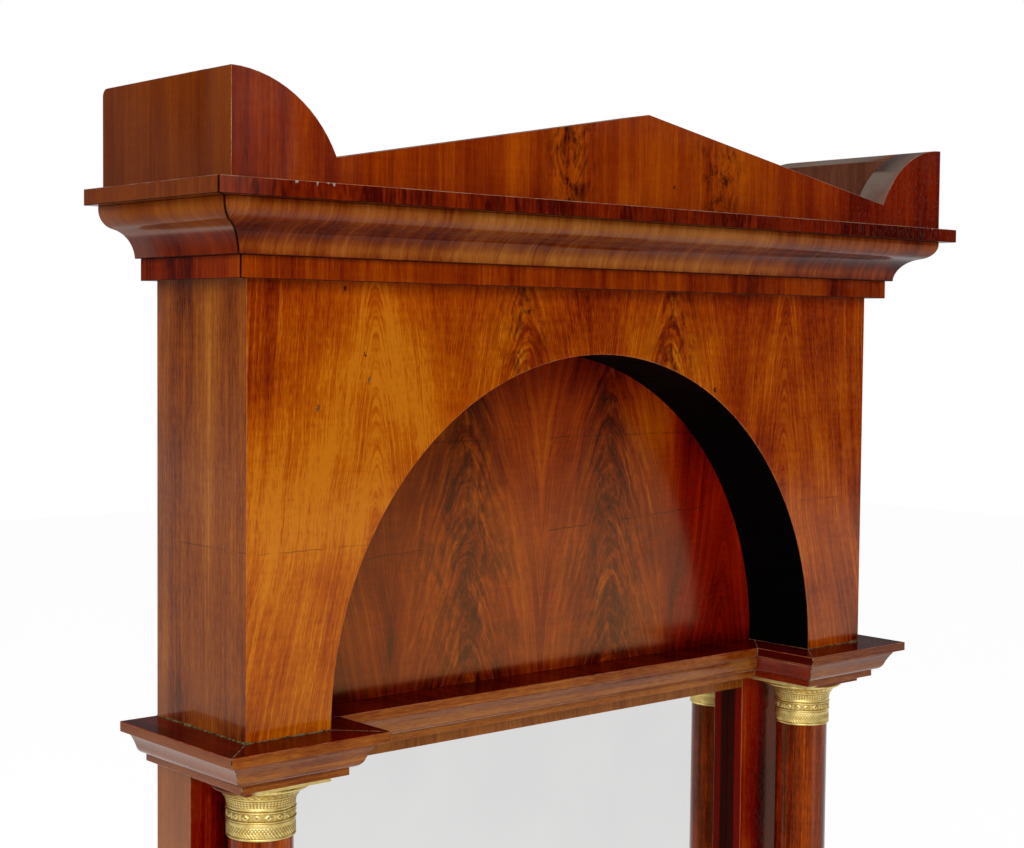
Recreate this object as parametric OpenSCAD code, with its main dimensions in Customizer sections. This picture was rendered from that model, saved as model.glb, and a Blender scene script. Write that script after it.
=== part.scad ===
// Tall pier mirror of late Empire form: a mirror plate in a mahogany frame, two free columns with gilt brass
// capitals in front of it, and over them a box frieze with an arched niche, a cornice and a crest with ears.
// Millimetres. X is the width, the front faces -Y, the wall is at +Y, and Z is up from the floor.

/* [Frame] */
// Width across the frieze box and the posts
frame_w = 700; // [640:10:800]
// Depth from the front of the frieze box to the wall
frame_d = 125; // [118:1:160]
// Height of the pedestals from the floor to the top of their cap
pedestal_h = 130; // [100:5:200]
// Height of a column from the pedestal's cap to the impost, with its base and capital
column_h = 1160; // [900:10:1300]
// Width of a pedestal and of the block over a column
block_w = 75; // [70:1:80]
// Space between the column's square plates and the post behind them
post_gap = 1; // [0.5:0.5:4]

/* [Arch and frieze box] */
// Straight height below the half circle of the arch
arch_stilt = 4; // [0:1:20]
// Height of the frieze front above the arch's crown
crown_h = 54; // [30:1:90]
// Thickness of the frieze's front board
arch_board_t = 22; // [18:1:30]
// Thickness of the frieze box's side boards
side_board_t = 22; // [16:1:30]
// Thickness of the black lining of the arch
soffit_t = 4; // [3:0.5:8]
// Depth from the frieze front to the figured panel
niche_d = 74; // [60:1:84]
// Thickness of the figured panel
panel_t = 8; // [6:1:12]
// Thickness of the board at the back of the frieze box
frieze_back_t = 12; // [10:1:16]

/* [Cornice] */
// Height of the flat strip under the cornice moulding
architrave_h = 16.5; // [10:0.5:30]
// Projection of the flat strip
architrave_out = 14; // [8:1:18]
// Height of the cornice moulding
cyma_h = 37.5; // [32:0.5:50]
// Projection of the cornice moulding at its top
cyma_out = 49.5; // [44:0.5:60]
// Projection of the cornice moulding at its foot
cyma_foot_out = 19; // [18:0.5:25]
// Radius of the round upper half of the cornice moulding
cyma_round_r = 14.5; // [10:0.5:16]
// Turn of the round upper half before it meets the hollow, in degrees
cyma_turn = 79; // [70:1:84]
// Height of the upright lip over the round
cyma_lip = 2; // [1:0.5:4]
// Thickness of the top slab
slab_t = 12; // [8:1:20]
// Overhang of the top slab over the cornice moulding
slab_overhang = 11.5; // [6:0.5:18]
// Width of the dark open joint at the cornice's mitred corners
mitre_gap = 0.8; // [0:0.1:1.2]

/* [Crest] */
// Height of the ears over the slab
ear_h = 74.5; // [60:0.5:100]
// Radius of the ears' curve
ear_r = 95; // [85:1:120]
// Height over the slab of the valley between ear and pediment
valley_h = 19; // [10:1:40]
// Height over the slab of the pediment's point
pediment_h = 75; // [50:1:120]
// Thickness of the crest's front board
pediment_t = 32; // [20:1:36]
// Thickness of the ears' side boards
ear_side_t = 40; // [25:1:45]
// Distance of the crest's face behind the slab's front edge
crest_front_inset = 9.4; // [4:0.2:16]
// Distance of the ears' outer faces inside the slab's ends
crest_side_inset = 15.6; // [6:0.2:20]
// Radius of the rounded rear top corner of the ears' side boards
ear_corner_r = 6; // [4:1:20]
// Side of the triangular glue blocks behind the crest
glue_block_w = 26; // [16:1:32]
// Length of a glue block
glue_block_l = 60; // [40:5:90]

/* [Impost moulding] */
// Projection of the impost's slab
impost_out = 32; // [28:1:40]
// Thickness of the impost's slab
impost_slab_t = 8; // [5:0.5:12]
// Projection of the narrow band under the slab
impost_band_out = 24; // [21:0.5:26]
// Height of the narrow band under the slab
impost_band_h = 3; // [2:0.5:5]
// Height of the curved part of the impost
impost_ogee_h = 16.3; // [14:0.1:20]
// Radius of the round lower part of the impost's curve
impost_round_r = 8.5; // [6:0.5:10]
// Projection of the fillet at the foot of the impost
impost_fillet_out = 9.7; // [6:0.1:12]
// Height of the fillet
impost_fillet_h = 6.3; // [4:0.1:10]
// Thickness of the timber behind the recessed run of the impost and the sill
run_backing = 9; // [5:1:14]

/* [Sill moulding] */
// Projection of the pedestal cap's slab
sill_out = 18; // [14:1:26]
// Thickness of the pedestal cap's slab
sill_slab_t = 7; // [5:0.5:12]
// Projection of the narrow band under the cap's slab
sill_band_out = 13; // [11:0.5:14]
// Height of the narrow band under the cap's slab
sill_band_h = 2; // [1:0.5:4]
// Height of the curved part of the cap
sill_ogee_h = 10; // [9:0.5:14]
// Radius of the round lower part of the cap's curve
sill_round_r = 5; // [4:0.5:6]
// Projection of the fillet at the foot of the cap
sill_fillet_out = 5; // [3:0.5:6]
// Height of the cap's fillet
sill_fillet_h = 5; // [3:0.5:8]
// Projection of the plinth at the foot of a pedestal
plinth_out = 6; // [3:0.5:10]
// Height of the plinth
plinth_h = 38; // [25:1:60]
// Chamfer on the plinth's top edge
plinth_chamfer = 5; // [2:0.5:8]

/* [Columns] */
// Radius of the shaft under the capital
shaft_top_r = 24.5; // [20:0.5:26]
// Radius of the shaft over the base
shaft_bottom_r = 25.5; // [20:0.5:26]
// Clearance between the shaft and the brass sleeves
sleeve_fit = 0.1; // [0.05:0.05:0.3]
// Thickness of the brass sleeves
sleeve_t = 1.2; // [0.8:0.1:2]
// Thickness of the gilt square plate on the capital
abacus_t = 5.2; // [3:0.1:9]
// Projection of the rim on the flare past the neck
flare_out = 11.4; // [8:0.1:11.5]
// Height of the rounded rim on the flare
flare_rim_h = 3.2; // [1:0.1:4]
// Height of the gadrooned band under the rim
gadroon_band_h = 6; // [4:0.1:8]
// Number of gadroons round the flare
gadroon_count = 36; // [12:1:36]
// Radius of a gadroon
gadroon_r = 2.2; // [1:0.1:2.5]
// Height of the reeded band, up to the ring under the gadroons
reed_band_h = 9.9; // [8:0.1:14]
// Height over which the flare already opens inside the reeded band
flare_drop = 7; // [3:0.1:7.5]
// Number of reeds round the neck
reed_count = 36; // [24:1:48]
// Radius of a reed
reed_r = 1.2; // [0.8:0.1:1.5]
// Height of the band with lozenges
boss_band_h = 7.2; // [6:0.1:12]
// Height of the plain band
plain_band_h = 11.5; // [6:0.1:14]
// Height of the round bead at the capital's foot
foot_bead_h = 2.6; // [2:0.1:6]
// Projection of the thin rings between the bands
ring_out = 0.8; // [0.4:0.1:1.5]
// Number of lozenges round a capital
boss_count = 18; // [12:1:24]
// Side of a lozenge
boss_w = 3.6; // [2:0.1:5]
// Projection of the stamped relief past the neck
relief_out = 0.7; // [0.3:0.1:1.1]
// Thickness of the square plate under a column
base_plate_t = 6; // [4:0.5:10]
// Height of the lower round of the base
base_torus_h = 11; // [8:0.5:16]
// Projection of the lower round past the sleeve
base_torus_out = 6; // [4:0.5:8]
// Projection of the fillet over the lower round
base_fillet_out = 3; // [2:0.5:3.5]
// Height of the fillet over the lower round
base_fillet_h = 1.5; // [1:0.5:3]
// Height of the hollow over the fillet
base_hollow_h = 7; // [4:0.5:12]
// Height of the base's upper sleeve
base_sleeve_h = 15; // [8:0.5:30]

/* [Mirror plate and rails] */
// How far the posts reach past the pedestals towards the plate
post_reveal = 6.5; // [2:0.5:20]
// Height of the top rail that shows under the impost
rail_show = 13.4; // [6:0.2:40]
// Depth of the posts' inner edge in front of the plate
sight_depth = 18; // [14:1:22]
// Width of the rebate that the plate lies in
rebate_w = 8; // [5:0.5:12]
// Further width of the rebate that the backboards lie in
board_rebate_w = 8; // [5:0.5:12]
// Thickness of the mirror plate
plate_t = 5; // [3:0.5:6]
// Clearance round the plate and the backboards
plate_play = 1; // [0.5:0.5:3]
// Thickness of the backboards
backboard_t = 8; // [6:0.5:10]
// Gap between neighbouring backboards
board_gap = 0.8; // [0.2:0.2:3]
// Thickness of the rails' tenons
tenon_t = 10; // [6:1:12]
// Length of the rails' tenons
tenon_l = 35; // [20:1:50]
// Cheek of timber left round a tenon
tenon_shoulder = 4; // [3:0.5:8]
// Clearance round a tenon in its mortise
tenon_fit = 0.2; // [0.1:0.1:0.5]
// Side of a triangular block that holds the plate
plate_block_w = 10; // [6:1:11]
// Length of a block that holds the plate
plate_block_l = 50; // [30:5:80]
// Number of blocks along each post
plate_blocks_tall = 5; // [3:1:8]
// Number of blocks along each rail
plate_blocks_wide = 2; // [2:1:4]

/* [Wall plates] */
// Width of an iron wall plate
hanger_w = 46; // [36:1:60]
// Height of an iron wall plate
hanger_h = 80; // [60:1:110]
// Thickness of an iron wall plate
hanger_t = 2.5; // [2:0.5:4]
// Clearance round an iron plate in its seat
hanger_fit = 0.5; // [0.2:0.1:1]
// Radius of the hook hole
hook_r = 6; // [4:0.5:8]
// Radius of the room for the hook in the board behind its hole
hook_room_r = 9; // [8:0.5:12]
// Distance between the two hook holes
hook_spacing = 480; // [300:10:520]
// Distance of the hook holes under the box's top
hook_drop = 90; // [70:5:200]
// Radius of a screw's shank
screw_r = 1.8; // [1.2:0.1:2.4]
// Radius of a screw's flat head
screw_head_r = 3.6; // [2.6:0.1:4.6]
// Length of a screw
screw_l = 10; // [8:0.5:11]
// Distance of a screw from the edges of its plate
screw_edge = 7.2; // [5:0.2:9]

/* [Hidden] */
$fn = 72;

// Widths and depths, with the middle of the whole depth at y = 0
half_w = frame_w / 2;
slab_out = cyma_out + slab_overhang;
front_y = slab_out - (frame_d + slab_out) / 2;
wall_y = front_y + frame_d;
post_setback = block_w + post_gap;
post_y = front_y + post_setback;
recess_y = post_y - run_backing;
arch_r = half_w - block_w;
sight_x = arch_r - post_reveal;
column_x = half_w - block_w / 2;
column_y = front_y + block_w / 2;

// Heights
impost_h = impost_fillet_h + impost_ogee_h + impost_band_h + impost_slab_t;
sill_h = sill_fillet_h + sill_ogee_h + sill_band_h + sill_slab_t;
impost_z = pedestal_h + column_h;
frieze_z = impost_z + impost_h;
cornice_z = frieze_z + arch_stilt + arch_r + crown_h;
cyma_z = cornice_z + architrave_h;
slab_z = cyma_z + cyma_h;
crest_z = slab_z + slab_t;
box_h = slab_z - frieze_z;
sight_bottom = pedestal_h + rail_show;
sight_top = impost_z - rail_show;

// Capital and base
capital_h = flare_rim_h + gadroon_band_h + reed_band_h + boss_band_h + plain_band_h + foot_bead_h;
capital_z = impost_z - abacus_t - capital_h;
capital_bore_r = shaft_top_r + sleeve_fit;
neck_r = capital_bore_r + sleeve_t;
base_bore_r = shaft_bottom_r + sleeve_fit;
base_sleeve_r = base_bore_r + sleeve_t;

// Mirror plate and the layers behind it
plate_y = post_y + sight_depth;
plate_back_y = plate_y + plate_t;
boards_y = wall_y - backboard_t;
board_reach = rebate_w + board_rebate_w - plate_play;
board_w = (2 * (sight_x + board_reach) - 2 * board_gap) / 3;

// Crest
ear_x = half_w + slab_out - crest_side_inset;
crest_y = front_y - slab_out + crest_front_inset;
ear_side_y = crest_y + pediment_t;
valley_x = ear_x - sqrt(pow(ear_r, 2) - pow(valley_h - ear_h + ear_r, 2));

// Wall plates
hook_z = slab_z - hook_drop;
hanger_y = wall_y - hanger_t;
hanger_screw_x = hanger_w / 2 - screw_edge;
hanger_screw_z = hanger_h / 2 - screw_edge;

// Reach of a cutting block, past every part of the mirror
far = 5000;
// Length by which a cut passes a face, and by which the two halves of one piece run into each other
overlap = 1;
// Straight steps that make up an arc in a moulding's section
arc_steps = 9;

// Points on an arc round a centre, from one angle to another
function arc(centre, r, from, to) =
    [for (i = [0:arc_steps]) let (a = from + (to - from) * i / arc_steps) centre + r * [cos(a), sin(a)]];

// Radius of a circle that leaves a point along a normal and passes through another point
function through_r(point, normal, other) =
    let (d = other - point) (d * d) / (2 * (d * normal));

// Angle of a point as seen from a centre
function angle_at(centre, point) = atan2(point[1] - centre[1], point[0] - centre[0]);

// Cornice moulding: a lip, a round and then a hollow down to the foot
function cyma_points() =
    let (
        round_c = [cyma_out - cyma_round_r, cyma_h - cyma_lip],
        normal = [cos(cyma_turn), -sin(cyma_turn)],
        join = round_c + cyma_round_r * normal,
        foot = [cyma_foot_out, 0],
        hollow_r = through_r(join, normal, foot),
        hollow_c = join + hollow_r * normal
    )
    concat(
        [[0, cyma_h], [cyma_out, cyma_h]],
        arc(round_c, cyma_round_r, 0, -cyma_turn),
        [for (p = arc(hollow_c, hollow_r, 180 - cyma_turn, angle_at(hollow_c, foot))) if (p != join) p],
        [[0, 0]]
    );

// Cap moulding: a fillet, a round, a faint hollow, a narrow band and a slab. The round's centre lies
// round_step past the fillet, and the round meets the hollow round_turn below the level, in degrees
round_step = 0.5;
round_turn = 20;
function cap_points(out, slab, band_out, band, ogee, r, fillet_out, fillet) =
    let (
        round_c = [fillet_out + round_step, fillet + r],
        normal = [cos(round_turn), -sin(round_turn)],
        join = round_c + r * normal,
        top = [band_out, fillet + ogee],
        hollow_r = through_r(join, normal, top),
        hollow_c = join + hollow_r * normal,
        height = fillet + ogee + band + slab
    )
    concat(
        [[0, 0], [fillet_out, 0], [fillet_out, fillet]],
        arc(round_c, r, -90, -round_turn),
        arc(hollow_c, hollow_r, 180 - round_turn, angle_at(hollow_c, top)),
        [[band_out, height - slab], [out, height - slab], [out, height], [0, height]]
    );

function impost_points() = cap_points(impost_out, impost_slab_t, impost_band_out, impost_band_h,
    impost_ogee_h, impost_round_r, impost_fillet_out, impost_fillet_h);

function sill_points() = cap_points(sill_out, sill_slab_t, sill_band_out, sill_band_h,
    sill_ogee_h, sill_round_r, sill_fillet_out, sill_fillet_h);

// Extrudes a section along X. Its x is the projection towards -Y and its y is the height
module front_run(x0, x1) {
    translate([x1, 0, 0]) rotate([90, 0, -90]) linear_extrude(x1 - x0) children();
}

// The same, along Y and facing -X
module left_run(y0, y1) {
    rotate([0, 0, -90]) front_run(-y1, -y0) children();
}

// The same, along Y and facing +X
module right_run(y0, y1) {
    rotate([0, 0, 90]) front_run(y0, y1) children();
}

// All that lies past an upright plane through a corner, where angle is the way the plane faces
module past(corner, angle, gap = 0) {
    translate([corner[0], corner[1], 0]) rotate([0, 0, angle])
        translate([-gap / 2, -far / 2, -far / 2]) cube(far);
}

// A box between two corners
module block(low, high) {
    translate(low) cube(high - low);
}

// A copy on the other side of the middle
module other_side() {
    mirror([1, 0, 0]) children();
}

left_corner = [-half_w, front_y];
arch_corner = [-arch_r, front_y];
recess_corner = [-arch_r, recess_y];

// Front run of a cornice member, mitred at both ends
module cornice_front(z, out) {
    difference() {
        translate([0, front_y, z]) front_run(-half_w - out, half_w + out) children();
        past(left_corner, 135, mitre_gap);
        past([half_w, front_y], 45, mitre_gap);
    }
}

// Left run of a cornice member, mitred at the front
module cornice_left(z, out) {
    difference() {
        translate([-half_w, 0, z]) left_run(front_y - out, wall_y) children();
        past(left_corner, -45, mitre_gap);
    }
}

// The four runs of a moulding that breaks forward over the left column
module break_outer(z, out) {
    difference() {
        translate([-half_w, 0, z]) left_run(front_y - out, wall_y) children();
        past(left_corner, -45);
    }
}

module break_front(z, out) {
    difference() {
        translate([0, front_y, z]) front_run(-half_w - out, -arch_r + out) children();
        past(left_corner, 135);
        past(arch_corner, 45);
    }
}

module break_inner(z, out) {
    difference() {
        translate([-arch_r, 0, z]) right_run(front_y - out, recess_y) children();
        past(arch_corner, 225);
        past(recess_corner, 45);
    }
}

module break_centre(z, height) {
    difference() {
        translate([0, recess_y, z]) front_run(-arch_r, arch_r) {
            children();
            translate([-run_backing, 0]) square([run_backing + overlap, height]);
        }
        past(recess_corner, 225);
        past([arch_r, recess_y], -45);
    }
}

// Mahogany pedestal with a plinth, standing in front of the post
module pedestal_left() {
    chamfer_z = plinth_h - plinth_chamfer;
    color("#6e2a14") {
        block([-half_w, front_y, 0], [-arch_r, post_y, pedestal_h]);
        block([-half_w - plinth_out, front_y - plinth_out, 0], [-arch_r + plinth_out, post_y, chamfer_z]);
        difference() {
            block([-half_w - plinth_out, front_y - plinth_out, chamfer_z - overlap],
                [-arch_r + plinth_out, post_y, plinth_h]);
            translate([0, front_y - plinth_out, chamfer_z]) rotate([45, 0, 0])
                translate([-far / 2, -far, 0]) cube(far);
            translate([-half_w - plinth_out, 0, chamfer_z]) rotate([0, -45, 0])
                translate([-far, -far / 2, 0]) cube(far);
            translate([-arch_r + plinth_out, 0, chamfer_z]) rotate([0, 45, 0])
                translate([0, -far / 2, 0]) cube(far);
        }
    }
}
module pedestal_right() { other_side() pedestal_left(); }

// Tenon of a rail, grown on every side by fit
module tenon(z0, z1, fit = 0) {
    y0 = post_y + tenon_shoulder;
    for (side = [-1, 1])
        translate([side * sight_x, 0, 0])
            block([side < 0 ? -tenon_l - fit : -overlap, y0 - fit, z0 + tenon_shoulder - fit],
                [side < 0 ? overlap : tenon_l + fit, y0 + tenon_t + fit, z1 - tenon_shoulder + fit]);
}

// Rebates for the plate and the backboards round the open sight
module rebates() {
    block([-sight_x - rebate_w, plate_y, sight_bottom - rebate_w],
        [sight_x + rebate_w, wall_y + overlap, sight_top + rebate_w]);
    block([-sight_x - rebate_w - board_rebate_w, boards_y, sight_bottom - rebate_w - board_rebate_w],
        [sight_x + rebate_w + board_rebate_w, wall_y + overlap, sight_top + rebate_w + board_rebate_w]);
}

module bottom_rail() {
    color("#6e2a14") {
        difference() {
            block([-sight_x, post_y, 0], [sight_x, wall_y, sight_bottom]);
            rebates();
        }
        tenon(0, sight_bottom - rebate_w - board_rebate_w);
    }
}

module top_rail() {
    color("#6e2a14") {
        difference() {
            block([-sight_x, post_y, sight_top], [sight_x, wall_y, frieze_z]);
            rebates();
        }
        tenon(sight_top + rebate_w + board_rebate_w, frieze_z);
    }
}

// Post with the rebates and the mortises of both rails
module post_left() {
    color("#5e1f10") difference() {
        block([-half_w, post_y, 0], [-sight_x, wall_y, frieze_z]);
        rebates();
        tenon(0, sight_bottom - rebate_w - board_rebate_w, tenon_fit);
        tenon(sight_top + rebate_w + board_rebate_w, frieze_z, tenon_fit);
    }
}
module post_right() { other_side() post_left(); }

// Pedestal cap and the sill between the pedestals
sill_z = pedestal_h - sill_h;
module sill_outer_left() { color("#7a3018") break_outer(sill_z, sill_out) polygon(sill_points()); }
module sill_front_left() { color("#7a3018") break_front(sill_z, sill_out) polygon(sill_points()); }
module sill_inner_left() { color("#7a3018") break_inner(sill_z, sill_out) polygon(sill_points()); }
module sill_centre() { color("#7a3018") break_centre(sill_z, sill_h) polygon(sill_points()); }
module sill_inner_right() { other_side() sill_inner_left(); }
module sill_front_right() { other_side() sill_front_left(); }
module sill_outer_right() { other_side() sill_outer_left(); }

// A thin ring with chamfered edges round a sleeve of a given radius, at a height
function ring_points(r, z) =
    [[r, z - ring_out], [r + ring_out, z - ring_out / 2], [r + ring_out, z + ring_out / 2], [r, z + ring_out]];

// Gilt base: a square plate, a full round, a fillet, a hollow, and a sleeve with a ring round the shaft
module column_base_left() {
    torus_r = base_torus_h / 2;
    torus_c = [base_sleeve_r + base_torus_out - torus_r, torus_r];
    fillet_x = base_sleeve_r + base_fillet_out;
    foot = [fillet_x, base_torus_h + base_fillet_h];
    hollow_top = [base_sleeve_r, foot[1] + base_hollow_h];
    hollow_r = through_r(hollow_top, [1, 0], foot);
    hollow_c = hollow_top + [hollow_r, 0];
    sleeve_z = hollow_top[1] + base_sleeve_h;
    color("#c9a13b") translate([-column_x, column_y, pedestal_h]) {
        translate([-block_w / 2, -block_w / 2, 0]) cube([block_w, block_w, base_plate_t]);
        translate([0, 0, base_plate_t]) rotate_extrude() polygon(concat(
            [[base_bore_r, -overlap], [torus_c[0], -overlap]],
            arc(torus_c, torus_r, -90, acos((fillet_x - torus_c[0]) / torus_r)),
            arc(hollow_c, hollow_r, 360 + angle_at(hollow_c, foot), 180),
            ring_points(base_sleeve_r, hollow_top[1] + 2 * ring_out),
            [[base_sleeve_r, sleeve_z], [base_bore_r, sleeve_z]]
        ));
    }
}
module column_base_right() { other_side() column_base_left(); }

// Polished shaft, a little thicker at the foot
module column_left() {
    foot_z = pedestal_h + base_plate_t;
    top_z = impost_z - abacus_t;
    base_h = base_torus_h + base_fillet_h + base_hollow_h + base_sleeve_h;
    color("#5a1c10") translate([-column_x, column_y, foot_z]) rotate_extrude()
        polygon([[0, 0], [shaft_bottom_r, 0], [shaft_bottom_r, base_h],
            [shaft_top_r, capital_z - foot_z], [shaft_top_r, top_z - foot_z], [0, top_z - foot_z]]);
}
module column_right() { other_side() column_left(); }

// Copies evenly spaced round the axis of a capital, each moved out by a radius
module round_neck(count, r) {
    for (i = [0:count - 1]) rotate([0, 0, i * 360 / count]) translate([r, 0, 0]) children();
}

// Stamped brass capital: foot bead, plain band, lozenge band, reeded band, gadrooned flare and rim
module capital_left() {
    plain_z = foot_bead_h;
    boss_z = plain_z + plain_band_h;
    reed_z = boss_z + boss_band_h;
    gadroon_z = reed_z + reed_band_h;
    bead_r = foot_bead_h / 2;
    rim_r = flare_rim_h / 2;
    rim_c = [neck_r + flare_out - rim_r, capital_h - rim_r];
    flare_foot = [neck_r, gadroon_z - flare_drop];
    flare_top = rim_c - [0, rim_r];
    flare_r = through_r(flare_foot, [1, 0], flare_top);
    flare_c = flare_foot + [flare_r, 0];
    flare_end = angle_at(flare_c, flare_top);
    ring_angle = 180 - asin(flare_drop / flare_r);
    color("#c9a13b") translate([-column_x, column_y, capital_z]) difference() {
        union() {
            rotate_extrude() polygon(concat(
                [[0, 0], [neck_r - ring_out, 0]],
                arc([neck_r - ring_out, bead_r], bead_r, -90, 90),
                [[neck_r, plain_z + ring_out]],
                ring_points(neck_r, boss_z), ring_points(neck_r, reed_z),
                arc(flare_c, flare_r, 180, flare_end),
                arc(rim_c, rim_r, -90, 90),
                [[0, capital_h]]
            ));
            rotate_extrude() translate([flare_c[0] + flare_r * cos(ring_angle), gadroon_z])
                circle(r = ring_out, $fn = 24);
            round_neck(boss_count, neck_r) translate([0, 0, boss_z + boss_band_h / 2]) rotate([45, 0, 0])
                cube([2 * relief_out, boss_w, boss_w], center = true);
            round_neck(reed_count, neck_r + relief_out - reed_r) translate([0, 0, reed_z])
                cylinder(h = reed_band_h - ring_out, r = reed_r, $fn = 24);
            round_neck(gadroon_count, flare_c[0]) translate([0, 0, flare_foot[1]]) rotate([90, 0, 0])
                rotate([0, 0, flare_end]) rotate_extrude(angle = ring_angle - flare_end)
                    translate([flare_r - relief_out + gadroon_r, 0]) circle(r = gadroon_r, $fn = 24);
        }
        translate([0, 0, -overlap]) cylinder(h = capital_h + 2 * overlap, r = capital_bore_r);
        translate([-far / 2, -far / 2, capital_h]) cube(far);
    }
}
module capital_right() { other_side() capital_left(); }

module abacus_left() {
    color("#c9a13b") translate([-column_x, column_y, impost_z - abacus_t])
        translate([-block_w / 2, -block_w / 2, 0]) cube([block_w, block_w, abacus_t]);
}
module abacus_right() { other_side() abacus_left(); }

// Silvered plate, loose in its rebate by the play
module mirror_plate() {
    reach = rebate_w - plate_play;
    color("#d9dcdd") block([-sight_x - reach, plate_y, sight_bottom - rebate_w],
        [sight_x + reach, plate_back_y, sight_top + reach]);
}

// Triangular block that lies in a corner of the rebate behind the plate
module plate_block() {
    linear_extrude(plate_block_l, center = true) polygon([[0, 0], [plate_block_w, 0], [0, plate_block_w]]);
}
module plate_blocks() {
    x = sight_x + rebate_w;
    low = sight_bottom - rebate_w;
    high = sight_top + rebate_w;
    tall_step = (high - low) / plate_blocks_tall;
    wide_step = 2 * x / (plate_blocks_wide + 1);
    color("#c8a878") {
        for (side = [0, 1], i = [0:plate_blocks_tall - 1])
            mirror([side, 0, 0]) translate([-x, plate_back_y, low + (i + 0.5) * tall_step]) plate_block();
        for (i = [1:plate_blocks_wide]) {
            translate([-x + i * wide_step, plate_back_y, low]) rotate([0, -90, 0]) plate_block();
            translate([-x + i * wide_step, plate_back_y, high]) rotate([0, 90, 0]) plate_block();
        }
    }
}

// Thin upright board behind the plate, counted from the left
module backboard(i) {
    x0 = -sight_x - board_reach + i * (board_w + board_gap);
    color("#b08a5a") block([x0, boards_y, sight_bottom - rebate_w - board_rebate_w],
        [x0 + board_w, wall_y, sight_top + board_reach]);
}
module backboard_left() { backboard(0); }
module backboard_middle() { backboard(1); }
module backboard_right() { backboard(2); }

// Block inside the impost, between the column's abacus and the frieze box
module impost_core_left() {
    color("#b08a5a") block([-half_w, front_y, impost_z], [-arch_r, post_y, frieze_z]);
}
module impost_core_right() { other_side() impost_core_left(); }

module impost_outer_left() { color("#7a3018") break_outer(impost_z, impost_out) polygon(impost_points()); }
module impost_front_left() { color("#7a3018") break_front(impost_z, impost_out) polygon(impost_points()); }
module impost_inner_left() { color("#7a3018") break_inner(impost_z, impost_out) polygon(impost_points()); }
module impost_centre() { color("#7a3018") break_centre(impost_z, impost_h) polygon(impost_points()); }
module impost_inner_right() { other_side() impost_inner_left(); }
module impost_front_right() { other_side() impost_front_left(); }
module impost_outer_right() { other_side() impost_outer_left(); }

// Space of the arch, grown outwards by wall, between two depths
module arch_space(y0, y1, wall = 0) {
    spring = frieze_z + arch_stilt;
    translate([0, y1, spring]) rotate([90, 0, 0]) cylinder(h = y1 - y0, r = arch_r + wall, $fn = 144);
    block([-arch_r - wall, y0, frieze_z - far / 2], [arch_r + wall, y1, spring]);
}

// Frieze front with the arch cut out
module arch_board() {
    color("#9a4a1c") difference() {
        block([-half_w, front_y, frieze_z], [half_w, front_y + arch_board_t, slab_z]);
        arch_space(front_y - overlap, front_y + arch_board_t + overlap);
    }
}

// Black bent lining behind the frieze front
module arch_soffit() {
    y0 = front_y + arch_board_t;
    y1 = front_y + niche_d;
    color("#120d0b") intersection() {
        difference() {
            arch_space(y0, y1, soffit_t);
            arch_space(y0 - overlap, y1 + overlap);
        }
        block([-half_w, y0, frieze_z], [half_w, y1, slab_z]);
    }
}

module frieze_side_left() {
    color("#7a3018") block([-half_w, front_y + arch_board_t, frieze_z], [-half_w + side_board_t, wall_y, slab_z]);
}
module frieze_side_right() { other_side() frieze_side_left(); }

// Figured panel across the box, behind the arch
module niche_panel() {
    inner_x = half_w - side_board_t;
    color("#9a4a1c") block([-inner_x, front_y + niche_d, frieze_z],
        [inner_x, front_y + niche_d + panel_t, slab_z]);
}

// The two hook holes' places in the back of the box
module at_hangers() {
    for (side = [-1, 1]) translate([side * hook_spacing / 2, 0, hook_z]) children();
}

// The four screws' places on a wall plate
module at_screws() {
    for (x = [-1, 1], z = [-1, 1]) translate([x * hanger_screw_x, 0, z * hanger_screw_z]) children();
}

// A hole along Y, from y0 to y1
module bore_y(y0, y1, r) {
    translate([0, y1, 0]) rotate([90, 0, 0]) cylinder(h = y1 - y0, r = r);
}

// Back of the frieze box, with seats for the wall plates, hook slots and screw holes
module frieze_back() {
    inner_x = half_w - side_board_t;
    seat_x = hanger_w / 2 + hanger_fit;
    seat_z = hanger_h / 2 + hanger_fit;
    color("#b08a5a") difference() {
        block([-inner_x, wall_y - frieze_back_t, frieze_z], [inner_x, wall_y, slab_z]);
        at_hangers() {
            block([-seat_x, hanger_y, -seat_z], [seat_x, wall_y + overlap, seat_z]);
            bore_y(wall_y - frieze_back_t - overlap, wall_y, hook_room_r);
            at_screws() bore_y(wall_y - screw_l - hanger_fit, wall_y, screw_r);
        }
    }
}

// Iron plates with a hook hole and four countersunk screw holes each
module hanging_plates() {
    color("#4a4744") at_hangers() difference() {
        block([-hanger_w / 2, hanger_y, -hanger_h / 2], [hanger_w / 2, wall_y, hanger_h / 2]);
        bore_y(hanger_y - overlap, wall_y + overlap, hook_r);
        at_screws() {
            bore_y(hanger_y - overlap, wall_y + overlap, screw_r);
            translate([0, wall_y, 0]) rotate([90, 0, 0])
                cylinder(h = screw_head_r - screw_r, r1 = screw_head_r, r2 = screw_r);
        }
    }
}

module plate_screws() {
    head_h = screw_head_r - screw_r;
    color("#6a6560") at_hangers() at_screws()
        translate([0, wall_y, 0]) rotate([90, 0, 0]) rotate_extrude()
            polygon([[0, 0], [screw_head_r, 0], [screw_r, head_h], [screw_r, screw_l - screw_r], [0, screw_l]]);
}

// Board that closes the box and carries the crest
module cornice_board() {
    color("#b08a5a") block([-half_w, front_y, slab_z], [half_w, wall_y, crest_z]);
}

module architrave_front() {
    color("#7a3018") cornice_front(cornice_z, architrave_out) square([architrave_out, architrave_h]);
}
module architrave_left() {
    color("#7a3018") cornice_left(cornice_z, architrave_out) square([architrave_out, architrave_h]);
}
module architrave_right() { other_side() architrave_left(); }

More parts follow.
